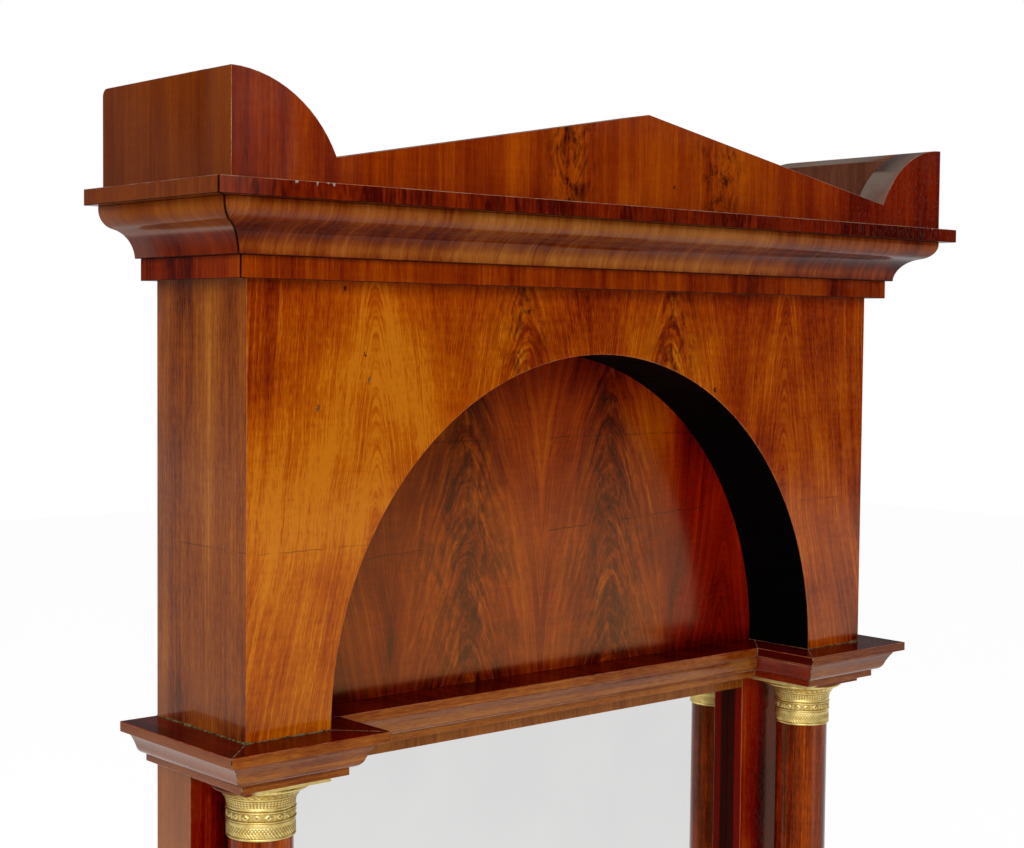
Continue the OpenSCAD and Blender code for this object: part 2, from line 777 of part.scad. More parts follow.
module cornice_cyma_front() { color("#8a3d1a") cornice_front(cyma_z, cyma_out) polygon(cyma_points()); }
module cornice_cyma_left() { color("#8a3d1a") cornice_left(cyma_z, cyma_out) polygon(cyma_points()); }
module cornice_cyma_right() { other_side() cornice_cyma_left(); }

module cornice_slab_front() { color("#7a3018") cornice_front(slab_z, slab_out) square([slab_out, slab_t]); }
module cornice_slab_left() { color("#7a3018") cornice_left(slab_z, slab_out) square([slab_out, slab_t]); }
module cornice_slab_right() { other_side() cornice_slab_left(); }

// Left ear's outline: a quarter of a circle that is tall at the outer side
module ear_outline(width) {
    intersection() {
        translate([-ear_x, ear_h - ear_r]) circle(r = ear_r, $fn = 144);
        translate([-ear_x, 0]) square([width, ear_h]);
    }
}

// Crest front: low pediment between the two ears, in one board
module pediment_board() {
    color("#7f2c12") translate([0, ear_side_y, crest_z]) rotate([90, 0, 0]) linear_extrude(pediment_t) {
        polygon([[-valley_x, 0], [valley_x, 0], [valley_x, valley_h], [0, pediment_h], [-valley_x, valley_h]]);
        ear_outline(ear_r);
        mirror([1, 0]) ear_outline(ear_r);
    }
}

// Ear's side board, with the ear's curve on its top and a rounded corner at the back
module ear_side_left() {
    round_y = wall_y - ear_corner_r;
    round_z = crest_z + ear_h - ear_corner_r;
    color("#7f2c12") difference() {
        translate([0, wall_y, crest_z]) rotate([90, 0, 0]) linear_extrude(wall_y - ear_side_y)
            ear_outline(ear_side_t);
        difference() {
            block([-far / 2, round_y, round_z], [0, wall_y + overlap, round_z + far / 2]);
            translate([-far / 2 - overlap, round_y, round_z]) rotate([0, 90, 0])
                cylinder(h = far, r = ear_corner_r);
        }
    }
}
module ear_side_right() { other_side() ear_side_left(); }

// Triangular block that lies in a corner: along X in the corner of floor and front board
module glue_block() {
    translate([-glue_block_l / 2, 0, 0]) rotate([90, 0, 90]) linear_extrude(glue_block_l)
        polygon([[0, 0], [glue_block_w, 0], [0, glue_block_w]]);
}

// Blocks behind the pediment and inside the ears' side boards
module glue_blocks() {
    ear_inner_x = ear_x - ear_side_t;
    middle_y = (ear_side_y + wall_y) / 2;
    color("#b08a5a") {
        for (x = [-valley_x / 2, 0, valley_x / 2]) translate([x, ear_side_y, crest_z]) glue_block();
        for (side = [0, 1]) mirror([side, 0, 0])
            translate([-ear_inner_x, middle_y, crest_z]) rotate([0, 0, -90]) glue_block();
    }
}

pedestal_left();
pedestal_right();
bottom_rail();
sill_outer_left();
sill_front_left();
sill_inner_left();
sill_centre();
sill_inner_right();
sill_front_right();
sill_outer_right();
column_base_left();
column_base_right();
column_left();
column_right();
capital_left();
capital_right();
abacus_left();
abacus_right();
post_left();
post_right();
top_rail();
mirror_plate();
plate_blocks();
backboard_left();
backboard_middle();
backboard_right();
impost_core_left();
impost_core_right();
impost_outer_left();
impost_front_left();
impost_inner_left();
impost_centre();
impost_inner_right();
impost_front_right();
impost_outer_right();
arch_board();
frieze_side_left();
frieze_side_right();
arch_soffit();
niche_panel();
frieze_back();
cornice_board();
architrave_front();
architrave_left();
architrave_right();
cornice_cyma_front();
cornice_cyma_left();
cornice_cyma_right();
cornice_slab_front();
cornice_slab_left();
cornice_slab_right();
pediment_board();
ear_side_left();
ear_side_right();
glue_blocks();
hanging_plates();
plate_screws();
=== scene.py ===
"""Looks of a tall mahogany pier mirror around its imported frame: veneers, gilt brass and silvered glass."""

import math

import bmesh
import bpy
from mathutils import Matrix, Vector, noise


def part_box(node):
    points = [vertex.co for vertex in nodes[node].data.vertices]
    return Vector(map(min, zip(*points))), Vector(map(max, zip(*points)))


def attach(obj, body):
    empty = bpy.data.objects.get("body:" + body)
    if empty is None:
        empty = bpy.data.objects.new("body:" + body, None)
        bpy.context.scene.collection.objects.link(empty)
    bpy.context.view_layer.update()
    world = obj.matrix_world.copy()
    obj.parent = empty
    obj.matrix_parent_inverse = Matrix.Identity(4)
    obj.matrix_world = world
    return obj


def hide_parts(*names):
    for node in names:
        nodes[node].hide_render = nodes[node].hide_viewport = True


MM = 0.001
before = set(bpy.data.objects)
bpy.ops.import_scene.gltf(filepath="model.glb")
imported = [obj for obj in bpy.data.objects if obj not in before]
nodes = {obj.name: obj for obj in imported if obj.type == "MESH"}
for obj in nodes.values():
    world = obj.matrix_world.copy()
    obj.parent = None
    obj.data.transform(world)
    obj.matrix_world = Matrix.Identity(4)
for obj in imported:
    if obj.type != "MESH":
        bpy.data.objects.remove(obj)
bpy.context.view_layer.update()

# The camera, fitted to the object's edges in the photograph, in metres, degrees and pixels
CAMERA_PLACE = Vector((-1.04213, -1.11264, 1.62021))
CAMERA_YAW = math.radians(41.0955)
CAMERA_PITCH = math.radians(-2.92)
CAMERA_ROLL = math.radians(0.5447)
CAMERA_REACH = (0.05, 100)
FOCAL_PIXELS = 1789.25
IMAGE_WIDTH = 1024
SENSOR_WIDTH = 36


def new_object(name, data):
    thing = bpy.data.objects.new(name, data)
    bpy.context.scene.collection.objects.link(thing)
    return thing


def add_camera():
    """The photograph's view."""
    data = bpy.data.cameras.new("view")
    data.sensor_width = SENSOR_WIDTH
    data.lens = FOCAL_PIXELS * SENSOR_WIDTH / IMAGE_WIDTH
    data.clip_start, data.clip_end = CAMERA_REACH
    camera = new_object("view", data)
    level = math.cos(CAMERA_PITCH)
    forward = Vector((math.sin(CAMERA_YAW) * level, math.cos(CAMERA_YAW) * level, math.sin(CAMERA_PITCH)))
    right = Vector((math.cos(CAMERA_YAW), -math.sin(CAMERA_YAW), 0))
    up = right.cross(forward)
    tilted_right = right * math.cos(CAMERA_ROLL) + up * math.sin(CAMERA_ROLL)
    tilted_up = up * math.cos(CAMERA_ROLL) - right * math.sin(CAMERA_ROLL)
    turn = Matrix((tilted_right, tilted_up, -forward)).transposed().to_4x4()
    camera.matrix_world = Matrix.Translation(CAMERA_PLACE) @ turn
    bpy.context.scene.camera = camera


class Graph:
    """Short calls that add shader nodes to a node tree and wire them."""

    def __init__(self, tree):
        self.tree = tree
        tree.nodes.clear()

    def feed(self, socket, value):
        if isinstance(value, bpy.types.NodeSocket):
            self.tree.links.new(value, socket)
        else:
            socket.default_value = value

    def add(self, kind, inputs=None, **settings):
        """A shader node with its settings, and with inputs by name or by number."""
        node = self.tree.nodes.new("ShaderNode" + kind)
        for key, value in settings.items():
            setattr(node, key, value)
        for key, value in (inputs or {}).items():
            self.feed(node.inputs[key], value)
        return node

    def math(self, operation, *values, clamp=False):
        return self.add("Math", dict(enumerate(values)), operation=operation, use_clamp=clamp).outputs[0]

    def minus(self, a, b):
        return self.math("SUBTRACT", a, b)

    def times(self, a, b, clamp=False):
        return self.math("MULTIPLY", a, b, clamp=clamp)

    def total(self, *terms):
        """The sum of several values."""
        result = terms[0]
        for term in terms[1:]:
            result = self.math("ADD", result, term)
        return result

    def between(self, a, b, share):
        """From the value a at share 0 to the value b at share 1."""
        return self.total(a, self.times(share, self.minus(b, a)))

    def around(self, field, amount):
        """Noise turned into a value that swings around zero."""
        return self.times(self.minus(field, 0.5), amount)

    def place(self):
        """Where a point is in the frame, in millimetres."""
        return self.stretch(self.add("TexCoord").outputs["Object"], 1 / MM)

    def vector(self, x, y, z):
        return self.add("CombineXYZ", {"X": x, "Y": y, "Z": z}).outputs[0]

    def split(self, vector):
        return self.add("SeparateXYZ", {"Vector": vector}).outputs

    def stretch(self, vector, scale, shift=(0, 0, 0)):
        """Scales a vector by one number or by three, and moves it."""
        if not isinstance(scale, tuple):
            scale = (scale, scale, scale)
        return self.add("VectorMath", {0: vector, 1: scale, 2: shift}, operation="MULTIPLY_ADD").outputs[0]

    def noise(self, vector, detail=2.0, roughness=0.5, distortion=0.0):
        inputs = {"Vector": vector, "Scale": 1.0, "Detail": detail, "Roughness": roughness,
                  "Distortion": distortion}
        return self.add("TexNoise", inputs).outputs["Fac"]

    def step(self, value, low, high, bottom=0.0, top=1.0):
        """A smooth rise from bottom at low to top at high."""
        inputs = {"Value": value, "From Min": low, "From Max": high, "To Min": bottom, "To Max": top}
        return self.add("MapRange", inputs, interpolation_type="SMOOTHSTEP").outputs["Result"]

    def bell(self, value, middle, width):
        """One at the middle, falling off on both sides over the width."""
        ratio = self.math("DIVIDE", self.minus(value, middle), width)
        return self.math("EXPONENT", self.times(self.times(ratio, ratio), -1.0))

    def ramp(self, value, stops):
        node = self.add("ValToRGB", {"Fac": value})
        band = node.color_ramp
        while len(band.elements) < len(stops):
            band.elements.new(1.0)
        for element, (place, colour) in zip(band.elements, stops):
            element.position = place
            element.color = (*colour, 1.0)
        return node.outputs["Color"]

    def mix(self, factor, a, b, blend="MIX"):
        a, b = (value if isinstance(value, bpy.types.NodeSocket) else (*value, 1.0) for value in (a, b))
        return self.add("Mix", {0: factor, 6: a, 7: b}, data_type="RGBA", blend_type=blend).outputs[2]

    def bump(self, height, strength, distance, normal=None):
        node = self.add("Bump", {"Strength": strength, "Distance": distance, "Height": height})
        if normal is not None:
            self.feed(node.inputs["Normal"], normal)
        return node.outputs["Normal"]


def new_material(name):
    material = bpy.data.materials.new(name)
    material.use_nodes = True
    return material, Graph(material.node_tree)


def finish_material(graph, colour, roughness, normal=None, **fixed):
    """Adds the shader and the output. What is the same all over is set on the shader's own sockets."""
    shader = graph.add("BsdfPrincipled", {"Base Color": colour, "Roughness": roughness})
    for key, value in fixed.items():
        shader.inputs[key.replace("_", " ")].default_value = value
    if normal is not None:
        graph.feed(shader.inputs["Normal"], normal)
    graph.add("OutputMaterial", {"Surface": shader.outputs[0]})


# Palettes from the darkest line to the lightest, as linear colours
MAHOGANY = ((0.055, 0.0016, 0.0002), (0.165, 0.0105, 0.0004), (0.26, 0.028, 0.0005), (0.375, 0.058, 0.0006),
            (0.465, 0.096, 0.0012), (0.58, 0.165, 0.005))
CHERRY = ((0.014, 0.0003, 0.0001), (0.07, 0.001, 0.0002), (0.125, 0.0034, 0.0003), (0.18, 0.0125, 0.0004),
          (0.25, 0.034, 0.001), (0.35, 0.08, 0.005))
ROSE = ((0.02, 0.0002, 0.0001), (0.085, 0.0006, 0.0002), (0.15, 0.0016, 0.0003), (0.215, 0.006, 0.0004),
        (0.29, 0.018, 0.0008), (0.38, 0.05, 0.003))
HAZEL = ((0.07, 0.007, 0.0004), (0.15, 0.022, 0.0008), (0.225, 0.042, 0.0015), (0.29, 0.066, 0.003),
         (0.36, 0.098, 0.006), (0.45, 0.15, 0.015))
GOLDEN = ((0.035, 0.0012, 0.0003), (0.1, 0.008, 0.0006), (0.19, 0.03, 0.0015), (0.29, 0.072, 0.006),
          (0.38, 0.118, 0.016), (0.47, 0.17, 0.03))
TIMBER = ((0.12, 0.048, 0.016), (0.22, 0.098, 0.036), (0.32, 0.152, 0.06), (0.42, 0.215, 0.09),
          (0.5, 0.275, 0.125), (0.58, 0.335, 0.16))
RAW = ((0.02, 0.008, 0.004), (0.045, 0.018, 0.008), (0.065, 0.027, 0.012), (0.085, 0.036, 0.017),
       (0.11, 0.047, 0.023), (0.15, 0.07, 0.034))
# Old polish: the tints of its haze and the colour that a blush multiplies by
# A lilac grey, painted on as highlights and sheen that stand for light mirrored in the polish
POLISH_TINT = (1.0, 0.5, 0.14, 1.0)
PANEL_TINT = (1.0, 0.46, 0.13, 1.0)
WHITE = (1, 1, 1)
BLUSH = (0.95, 0.2, 0.4)
PAINTED_SHEEN_GREY = (0.35, 0.22, 0.18)
# Marks in and on the wood
DEEP = (0.012, 0.002, 0.001)
FLECK = (0.05, 0.0022, 0.0005)
PLUME_STAIN = (0.17, 0.1, 0.3)
WORN = (0.42, 0.22, 0.12)
DUST = (0.155, 0.13, 0.11)
KNOT = (0.015, 0.004, 0.002)
CHIP = (0.34, 0.31, 0.26)

# The layers of grain, from bands to short dashes: width and length in millimetres, detail, share of the tone
BROAD_GRAIN = ((38, 420, 2.0, 1.25), (8.0, 260, 2.0, 0.9))
FINE_GRAIN = ((2.0, 60, 3.0, 0.8), (1.0, 9, 1.0, 0.95))
PORE = (0.42, 6.0, 1.0)
GLOWING_STREAK = (2.6, 150, 1.0)
FIBRE_ROUGHNESS = 0.6
CLOUD_SHARE = 0.95
RIPPLE_SHARE = 0.22
# How long and how wide the ripples of ribbon figure are, in millimetres
RIBBON = (24, 5.5)

# Book-matched figure, in millimetres from the middle: where the feathers and the nested arches of the grain
# have their axes, how round the arches are, how far the fibres lean at the axis and how far out, and how much
# more they lean further down
FEATHER_AXIS = 84
FEATHER = (FEATHER_AXIS, 7, ((0.28, 90), (0.4, 26)), 0.0)
PANEL_FEATHER = (FEATHER_AXIS, 12, ((0.5, 80),), 0.0)
ARCHES = (234, 6, ((0.15, 110), (0.1, 25)), 0.0005)
ARCHES_CONTRAST = 0.85
BEND_START = 90
# Where feathers give way to arches, and how far the change reaches to each side
FAMILY_EDGE = 160
FAMILY_BLEND = 28
# The crotch figure at a feather's axis: how round its arches are and how steep their legs, how wide they are and
# how much they swirl, and their layers with height and share
CROTCH = (12, 2.6)
CROTCH_WIDTH = 34
CROTCH_SWIRL = 34
CROTCH_LAYERS = ((17, 1.2), (7.0, 1.0), (2.6, 0.45))
CROTCH_GLOW = (26, 8)
# The plumes' heights and their widths there, from the top down
PLUME_HEIGHTS = (1590, 1410)
PLUME_WIDTHS = (18, 54)
SWAY = 12
WANDER = 16
SPLIT_WIDTH = 0.45
# How flat the spots lie, and how ragged they are for their size
SPOT_SQUASH = 0.7
SPOT_RAG = 3.2


class Board:
    """Where a point of the wood is, in millimetres, and noise along the fibres."""

    def __init__(self, graph, along, shift):
        self.graph, self.along, self.shift = graph, along, shift
        self.place = graph.place()
        self.ways = dict(zip("xyz", graph.split(self.place)))

    def noise(self, scale, detail=2.0, roughness=0.5, distortion=0.0):
        return self.graph.noise(self.graph.stretch(self.place, scale, self.shift), detail, roughness, distortion)

    def rise(self, axis, begin, finish, amount):
        """A smooth step along an axis, from zero to the amount."""
        return self.graph.step(self.ways[axis], begin, finish, 0.0, amount)

    def band(self, axis, middle, width, amount):
        """A soft band across an axis, with the amount in its middle."""
        return self.graph.times(self.graph.bell(self.ways[axis], middle, width), amount)

    def swayed_side(self):
        """Distance from the middle of the object, with the slow sway of grown wood."""
        sway = self.graph.around(self.noise((0.009, 0.009, 0.007)), SWAY)
        return self.graph.total(self.graph.math("ABSOLUTE", self.ways["x"]), sway)

    def stretched(self, long, short):
        """A scale that stretches noise to one length along the fibres and to another across them."""
        return tuple(1 / long if axis in self.along else 1 / short for axis in "XYZ")

    def fibre(self, source, width, length, detail):
        scale = self.stretched(length, width)
        return self.graph.noise(self.graph.stretch(source, scale, self.shift), detail, FIBRE_ROUGHNESS)

    def grain(self, source, contrast, fine):
        """Tone of bands, streaks, lines and short dashes, around zero."""
        graph = self.graph
        tone = graph.step(self.fibre(source, *GLOWING_STREAK), 0.56, 0.72, 0.0, 0.2 * contrast)
        for layers, amount in ((BROAD_GRAIN, 1.0), (FINE_GRAIN, fine)):
            for width, length, detail, share in layers:
                field = self.fibre(source, width, length, detail)
                tone = graph.total(tone, graph.around(field, share * amount * contrast))
        return tone

    def ribbons(self):
        """Patchy ripples across the fibres, around zero."""
        graph = self.graph
        ripple = self.noise(self.stretched(*RIBBON), 2.0, 0.5, 0.8)
        patch = graph.step(self.noise(0.02, 1.0), 0.4, 0.6, 0.4, 1.0)
        return graph.times(graph.minus(ripple, 0.5), patch)


def rounded(graph, off, roundness):
    """How far a point is from an axis, rounded off near it."""
    return graph.math("SQRT", graph.total(graph.times(off, off), roundness * roundness))


def grown_place(board, side, family, top):
    """The place with X counted across the growth lines, which rise to a point at the family's axis."""
    graph = board.graph
    axis, roundness, leans, bend = family
    off = graph.minus(side, axis)
    if bend > 0:
        off = graph.total(off, graph.around(board.noise((0.0, 0.0, 0.008), 1.0), WANDER))
    across = away = rounded(graph, off, roundness)
    drop = graph.minus(board.ways["z"], top)
    for lean, reach in leans:
        pull = graph.math("EXPONENT", graph.times(away, -1 / reach))
        across = graph.total(across, graph.times(graph.times(drop, lean), pull))
    if bend > 0:
        low = graph.math("MINIMUM", graph.total(drop, BEND_START), 0.0)
        across = graph.total(across, graph.times(graph.times(low, low), -bend))
    return graph.vector(across, board.ways["y"], board.ways["z"])


def crotch_tone(board, side, contrast):
    """Tone of crotch figure: arches stacked up the axis of the feather, with legs that run down beside it."""
    graph = board.graph
    roundness, steepness = CROTCH
    off = graph.minus(side, FEATHER_AXIS)
    swirl = graph.around(board.noise((0.035, 0.035, 0.022), 3.0, 0.6), CROTCH_SWIRL)
    climb = graph.total(board.ways["z"], graph.times(rounded(graph, off, roundness), steepness), swirl)
    source = graph.vector(off, 0.0, climb)
    width, height = CROTCH_GLOW
    glow = graph.noise(graph.stretch(source, (1 / width, 0.0, 1 / height), board.shift), 1.0)
    tone = graph.step(glow, 0.52, 0.74, 0.0, 0.36 * contrast)
    for height, share in CROTCH_LAYERS:
        scale = (1 / CROTCH_WIDTH, 0.0, 1 / height)
        field = graph.noise(graph.stretch(source, scale, board.shift), 2.0, FIBRE_ROUGHNESS)
        tone = graph.total(tone, graph.around(field, share * contrast))
    return tone


def figured_tone(board, side, top, contrast, fine, crotch, feather):
    """Tone of book-matched veneer: feathers near the middle, nested arches further out."""
    graph = board.graph
    near = board.grain(grown_place(board, side, feather, top), contrast, fine)
    near = graph.between(near, crotch_tone(board, side, contrast), graph.bell(side, FEATHER_AXIS, crotch))
    far = board.grain(grown_place(board, side, ARCHES, top), ARCHES_CONTRAST * contrast, fine)
    return graph.between(near, far, graph.step(side, FAMILY_EDGE - FAMILY_BLEND, FAMILY_EDGE + FAMILY_BLEND))


def with_plume(board, side, colour, strength):
    """Darkens the soft brown plumes of the feathers, which widen downward."""
    graph = board.graph
    uneven = graph.step(board.noise((0.0, 0.0, 0.016)), 0.3, 0.7, 0.8, 1.25)
    swell = graph.times(graph.step(board.ways["z"], *PLUME_HEIGHTS, *PLUME_WIDTHS), uneven)
    smoke = graph.step(board.noise((0.06, 0.06, 0.03), 4.0, 0.62, 1.2), 0.36, 0.64)
    curl = graph.step(board.noise((0.22, 0.22, 0.075), 3.0, 0.6, 1.6), 0.38, 0.66)
    body = graph.total(graph.times(smoke, 0.72), graph.times(curl, 0.34), 0.1)
    veil = graph.times(graph.bell(side, FEATHER_AXIS, swell), body, clamp=True)
    return graph.mix(1.0, colour, graph.mix(graph.times(veil, strength), WHITE, PLUME_STAIN), "MULTIPLY")


def with_flecks(board, side, colour, centre, low, width, depth):
    """Adds the dark curls that stand above a feather, from the height called low."""
    graph = board.graph
    apart = graph.times(graph.bell(side, centre, width), graph.step(board.ways["z"], low - 14, low + 12))
    curl = graph.step(board.noise((0.085, 0.085, 0.05), 4.0, 0.66, 1.1), 0.44, 0.62)
    hair = graph.step(board.noise((0.3, 0.3, 0.075), 3.0, 0.6, 0.9), 0.45, 0.66)
    mark = graph.times(apart, graph.total(graph.times(curl, 0.75), graph.times(hair, 0.4)), clamp=True)
    return graph.mix(graph.times(mark, depth), colour, FLECK)


def with_splits(board, colour, splits):
    """Adds hair cracks across the veneer: height, slope, wave and strength of each."""
    graph = board.graph
    for height, slope, wave, strength in splits:
        ripple = graph.noise(graph.stretch(board.place, (0.05, 0.0, 0.0), (height, 0, 0)), 4.0, 0.7)
        level = graph.total(graph.times(board.ways["x"], slope), graph.around(ripple, wave), height)
        broken = graph.noise(graph.stretch(board.place, (0.035, 0.035, 0.0), (0, 0, height)), 2.0)
        crack = graph.times(graph.bell(board.ways["z"], level, SPLIT_WIDTH), graph.step(broken, 0.4, 0.58))
        colour = graph.mix(graph.times(crack, strength), colour, DEEP)
    return colour


def with_spots(board, colour, spots):
    """Adds ragged knots and chips: x, z, radius and colour of each."""
    graph = board.graph
    for spot_x, spot_z, radius, tint in spots:
        flat = graph.stretch(board.place, (1.0, 0.0, SPOT_SQUASH))
        middle = (spot_x, 0.0, spot_z * SPOT_SQUASH)
        off = graph.add("VectorMath", {0: flat, 1: middle}, operation="DISTANCE").outputs["Value"]
        jitter = graph.noise(graph.stretch(board.place, 0.5))
        ragged = graph.total(off, graph.around(jitter, SPOT_RAG * radius))
        colour = graph.mix(graph.step(ragged, radius, radius * 0.35, 0.0, 0.9), colour, tint)
    return colour


def with_dust(board, colour, roughness, amount):
    """Lays patchy dust on what faces up."""
    graph = board.graph
    facing = graph.split(graph.add("NewGeometry").outputs["Normal"])
    patchy = graph.step(board.noise(0.03, 4.0, 0.7), 0.25, 0.6, 0.6, 1.0)
    layer = graph.times(graph.times(graph.step(facing[2], 0.15, 0.5), patchy), amount)
    return graph.mix(layer, colour, DUST), graph.total(roughness, graph.times(layer, 0.5))


def wood(name, tones, along="Z", shift=(0, 0, 0), lift=0.5, contrast=1.0, fine=0.75, drift=(), glow=(),
         ribbon=0.0, figured=None, feather=FEATHER, crotch=0.0, blush=(), plume=0.0, flecks=(), splits=(),
         spots=(), wear=0.0, painted_highlights=(), painted_sheen=(), dust=0.0, shine=0.12, specular=0.7, pores=0.35,
         tint=POLISH_TINT):
    """Polished mahogany or plain timber, with fibres along the named axes.

    lift is the middle tone of the palette, contrast the swing of the grain around it, and fine the share of its
    thin lines. drift adds steps (axis, start, end, amount) to the tone, and glow adds painted light in bands
    (axis, middle, width, amount): a painted highlight where the amount is above zero and painted shade below it.
    ribbon adds figure across the grain. figured gives the height of the top of book-matched veneer, feather its
    kind and crotch how far its crotch figure reaches. blush adds redness in steps. gleams are painted highlights
    in bands and bloom is a painted sheen in steps, both of a lilac grey that stands for light mirrored in the
    polish, and shine is the roughness of the polish."""
    material, graph = new_material(name)
    board = Board(graph, along, shift)
    side = board.swayed_side() if figured is not None or flecks else None
    if figured is None:
        tone = board.grain(board.place, contrast, fine)
    else:
        tone = figured_tone(board, side, figured, contrast, fine, crotch, feather)
    cloud = board.noise((0.016, 0.016, 0.01))
    tone = graph.total(tone, graph.around(cloud, CLOUD_SHARE * contrast), lift)
    tone = graph.total(tone, *(board.rise(*entry) for entry in drift), *(board.band(*entry) for entry in glow))
    if ribbon > 0:
        tone = graph.total(tone, graph.times(board.ribbons(), ribbon))
    ripple = board.noise((0.045, 0.045, 0.3))
    tone = graph.total(tone, graph.around(ripple, RIPPLE_SHARE * contrast))

    colour = graph.ramp(tone, [(index / (len(tones) - 1), stop) for index, stop in enumerate(tones)])
    for entry in blush:
        colour = graph.mix(1.0, colour, graph.mix(board.rise(*entry), WHITE, BLUSH), "MULTIPLY")
    if plume > 0:
        colour = with_plume(board, side, colour, plume)
    for fleck in flecks:
        colour = with_flecks(board, side, colour, *fleck)
    pit = graph.step(board.fibre(board.place, *PORE), 0.58, 0.72)
    colour = graph.mix(graph.times(pit, pores), colour, DEEP)
    colour = with_spots(board, with_splits(board, colour, splits), spots)
    if wear > 0:
        rub = graph.step(board.noise(0.06, 3.0, 0.7), 0.42, 0.62)
        colour = graph.mix(graph.times(rub, wear), colour, WORN)

    # Painted highlights in bands and a painted sheen in steps, both of a lilac grey
    for entry in painted_highlights:
        colour = graph.mix(board.band(*entry), colour, PAINTED_SHEEN_GREY)
    for entry in painted_sheen:
        patch = graph.step(board.noise(0.025, 3.0, 0.6), 0.3, 0.7, 0.55, 1.25)
        colour = graph.mix(graph.times(board.rise(*entry), patch), colour, PAINTED_SHEEN_GREY)
    smear = board.noise((0.01, 0.01, 0.014), 3.0, 0.6)
    roughness = graph.total(shine - 0.05, graph.times(smear, 0.1), graph.times(pit, 0.15))
    if dust > 0:
        colour, roughness = with_dust(board, colour, roughness, dust)

    wavy = graph.bump(board.noise((0.02, 0.02, 0.012), 1.0), 0.25, 0.0012)
    normal = graph.bump(graph.times(pit, -1.0), 0.25, 0.0001, wavy)
    finish_material(graph, colour, roughness, normal, Specular_IOR_Level=specular, Specular_Tint=tint)
    return material


def crumbs(name, dark, light):
    """Dirt, old glue or old filler in the joints."""
    material, graph = new_material(name)
    crumb = graph.noise(graph.stretch(graph.place(), 0.25), 3.0, 0.6)
    colour = graph.ramp(crumb, [(0.4, dark), (0.6, light)])
    finish_material(graph, colour, 0.8, graph.bump(crumb, 0.4, 0.0003), Specular_IOR_Level=0.05)
    return material


def ebony_black():
    """Dull black stain on the lining of the arch."""
    material, graph = new_material("ebony_black")
    brush = graph.noise(graph.stretch(graph.place(), (0.4, 0.02, 0.4)), 3.0, 0.6)
    colour = graph.ramp(brush, [(0.35, (0.0003, 0.0002, 0.0002)), (0.7, (0.001, 0.0008, 0.0007))])
    roughness = graph.step(brush, 0.3, 0.7, 0.6, 0.8)
    finish_material(graph, colour, roughness, graph.bump(brush, 0.15, 0.0002), Specular_IOR_Level=0.02)
    return material


# Gilding as linear colours, from the darkest to the brightest, and its colours in the hollows, in freckles and in
# painted shade
GILDING = ((0.3, (0.53, 0.365, 0.1)), (0.5, (0.635, 0.485, 0.17)), (0.72, (0.73, 0.62, 0.275)))
GILT_HOLLOW = (0.24, 0.125, 0.028)
GILT_FRECKLE = (0.3, 0.17, 0.035)
GILT_IN_SHADE = (0.16, 0.03, 0.008)


def gilt(name, is_stamped=False, dull=()):
    """Old fire-gilt brass, bright on what stands out and, where it is stamped, brown in the hollows. dull gives
    the steps along X over which the gilding darkens into painted shade, in millimetres."""
    material, graph = new_material(name)
    place = graph.place()
    blot = graph.noise(graph.stretch(place, 0.16), 4.0, 0.62)
    grain = graph.noise(graph.stretch(place, 1.1), 3.0, 0.6)
    colour = graph.ramp(blot, GILDING)
    roughness = graph.total(0.32, graph.times(blot, 0.16))
    if is_stamped:
        depth = graph.add("Attribute", attribute_name="relief").outputs["Fac"]
        height = graph.total(depth, graph.around(grain, 0.5))
        hollow = graph.minus(1.0, graph.step(height, 0.12, 0.7))
        colour = graph.mix(graph.times(hollow, 0.72), colour, GILT_HOLLOW)
        roughness = graph.total(roughness, graph.times(hollow, 0.2))
    colour = graph.mix(graph.times(graph.step(grain, 0.64, 0.76), 0.45), colour, GILT_FRECKLE)
    # Beyond each step along X the gilding is darkened as painted shade
    for begin, finish in dull:
        shaded = graph.step(graph.split(place)[0], begin, finish, 0.0, 0.97)
        colour = graph.mix(shaded, colour, GILT_IN_SHADE)
    finish_material(graph, colour, roughness, graph.bump(grain, 0.25, 0.0002), Metallic=1.0)
    return material


def silvered():
    """Old mirror plate: a soft grey silvering with faint clouds and a few specks."""
    material, graph = new_material("silvered_glass")
    place = graph.place()
    cloud = graph.noise(graph.stretch(place, 0.006), 3.0, 0.55)
    speck = graph.step(graph.noise(graph.stretch(place, 0.11)), 0.83, 0.86)
    colour = graph.ramp(cloud, [(0.3, (0.675, 0.675, 0.675)), (0.7, (0.73, 0.725, 0.72))])
    colour = graph.mix(speck, colour, (0.2, 0.18, 0.16))
    finish_material(graph, colour, graph.step(cloud, 0.3, 0.7, 0.015, 0.05), Metallic=1.0)
    return material


def iron():
    """Forged iron, brown-black with a little rust."""
    material, graph = new_material("forged_iron")
    rust = graph.noise(graph.stretch(graph.place(), 0.12), 5.0, 0.65)
    colour = graph.ramp(rust, [(0.35, (0.035, 0.03, 0.028)), (0.55, (0.075, 0.048, 0.034)),
                               (0.72, (0.17, 0.075, 0.035))])
    roughness = graph.step(rust, 0.3, 0.7, 0.45, 0.75)
    finish_material(graph, colour, roughness, graph.bump(rust, 0.5, 0.0006), Metallic=0.7)
    return material


# In metres: what counts as one point and as on a seam, and how near a piece's rim its reveal ends, on faces and
# on arrises. As angles: what counts as flat, as an arris and as smooth
SAME_POINT = 0.00001
ON_SEAM = 0.00005
REVEAL_EDGE, REVEAL_RIM = 0.005, 0.002
FLAT_TURN = math.radians(0.4)
ARRIS_TURN = math.radians(28)
SMOOTH_TURN = math.radians(50)
ARRIS_STEPS = 2
# Parts of a normal along an axis: from where a face or an arris counts as looking that way, below which it looks
# across it or stands upright, below which an arris looks down, and how much is along X at a mitre
FACES, ARRIS_FACES = 0.9, 0.8
ACROSS, UPRIGHT = 0.1, 0.01
DOWNWARD = -0.2
MITRE_LEAST, MITRE_MOST = 0.4, 0.92
# How near a mitre and the foot an arris belongs to them, in widths of the arris
MITRE_REACH, FOOT_REACH = 1.2, 2


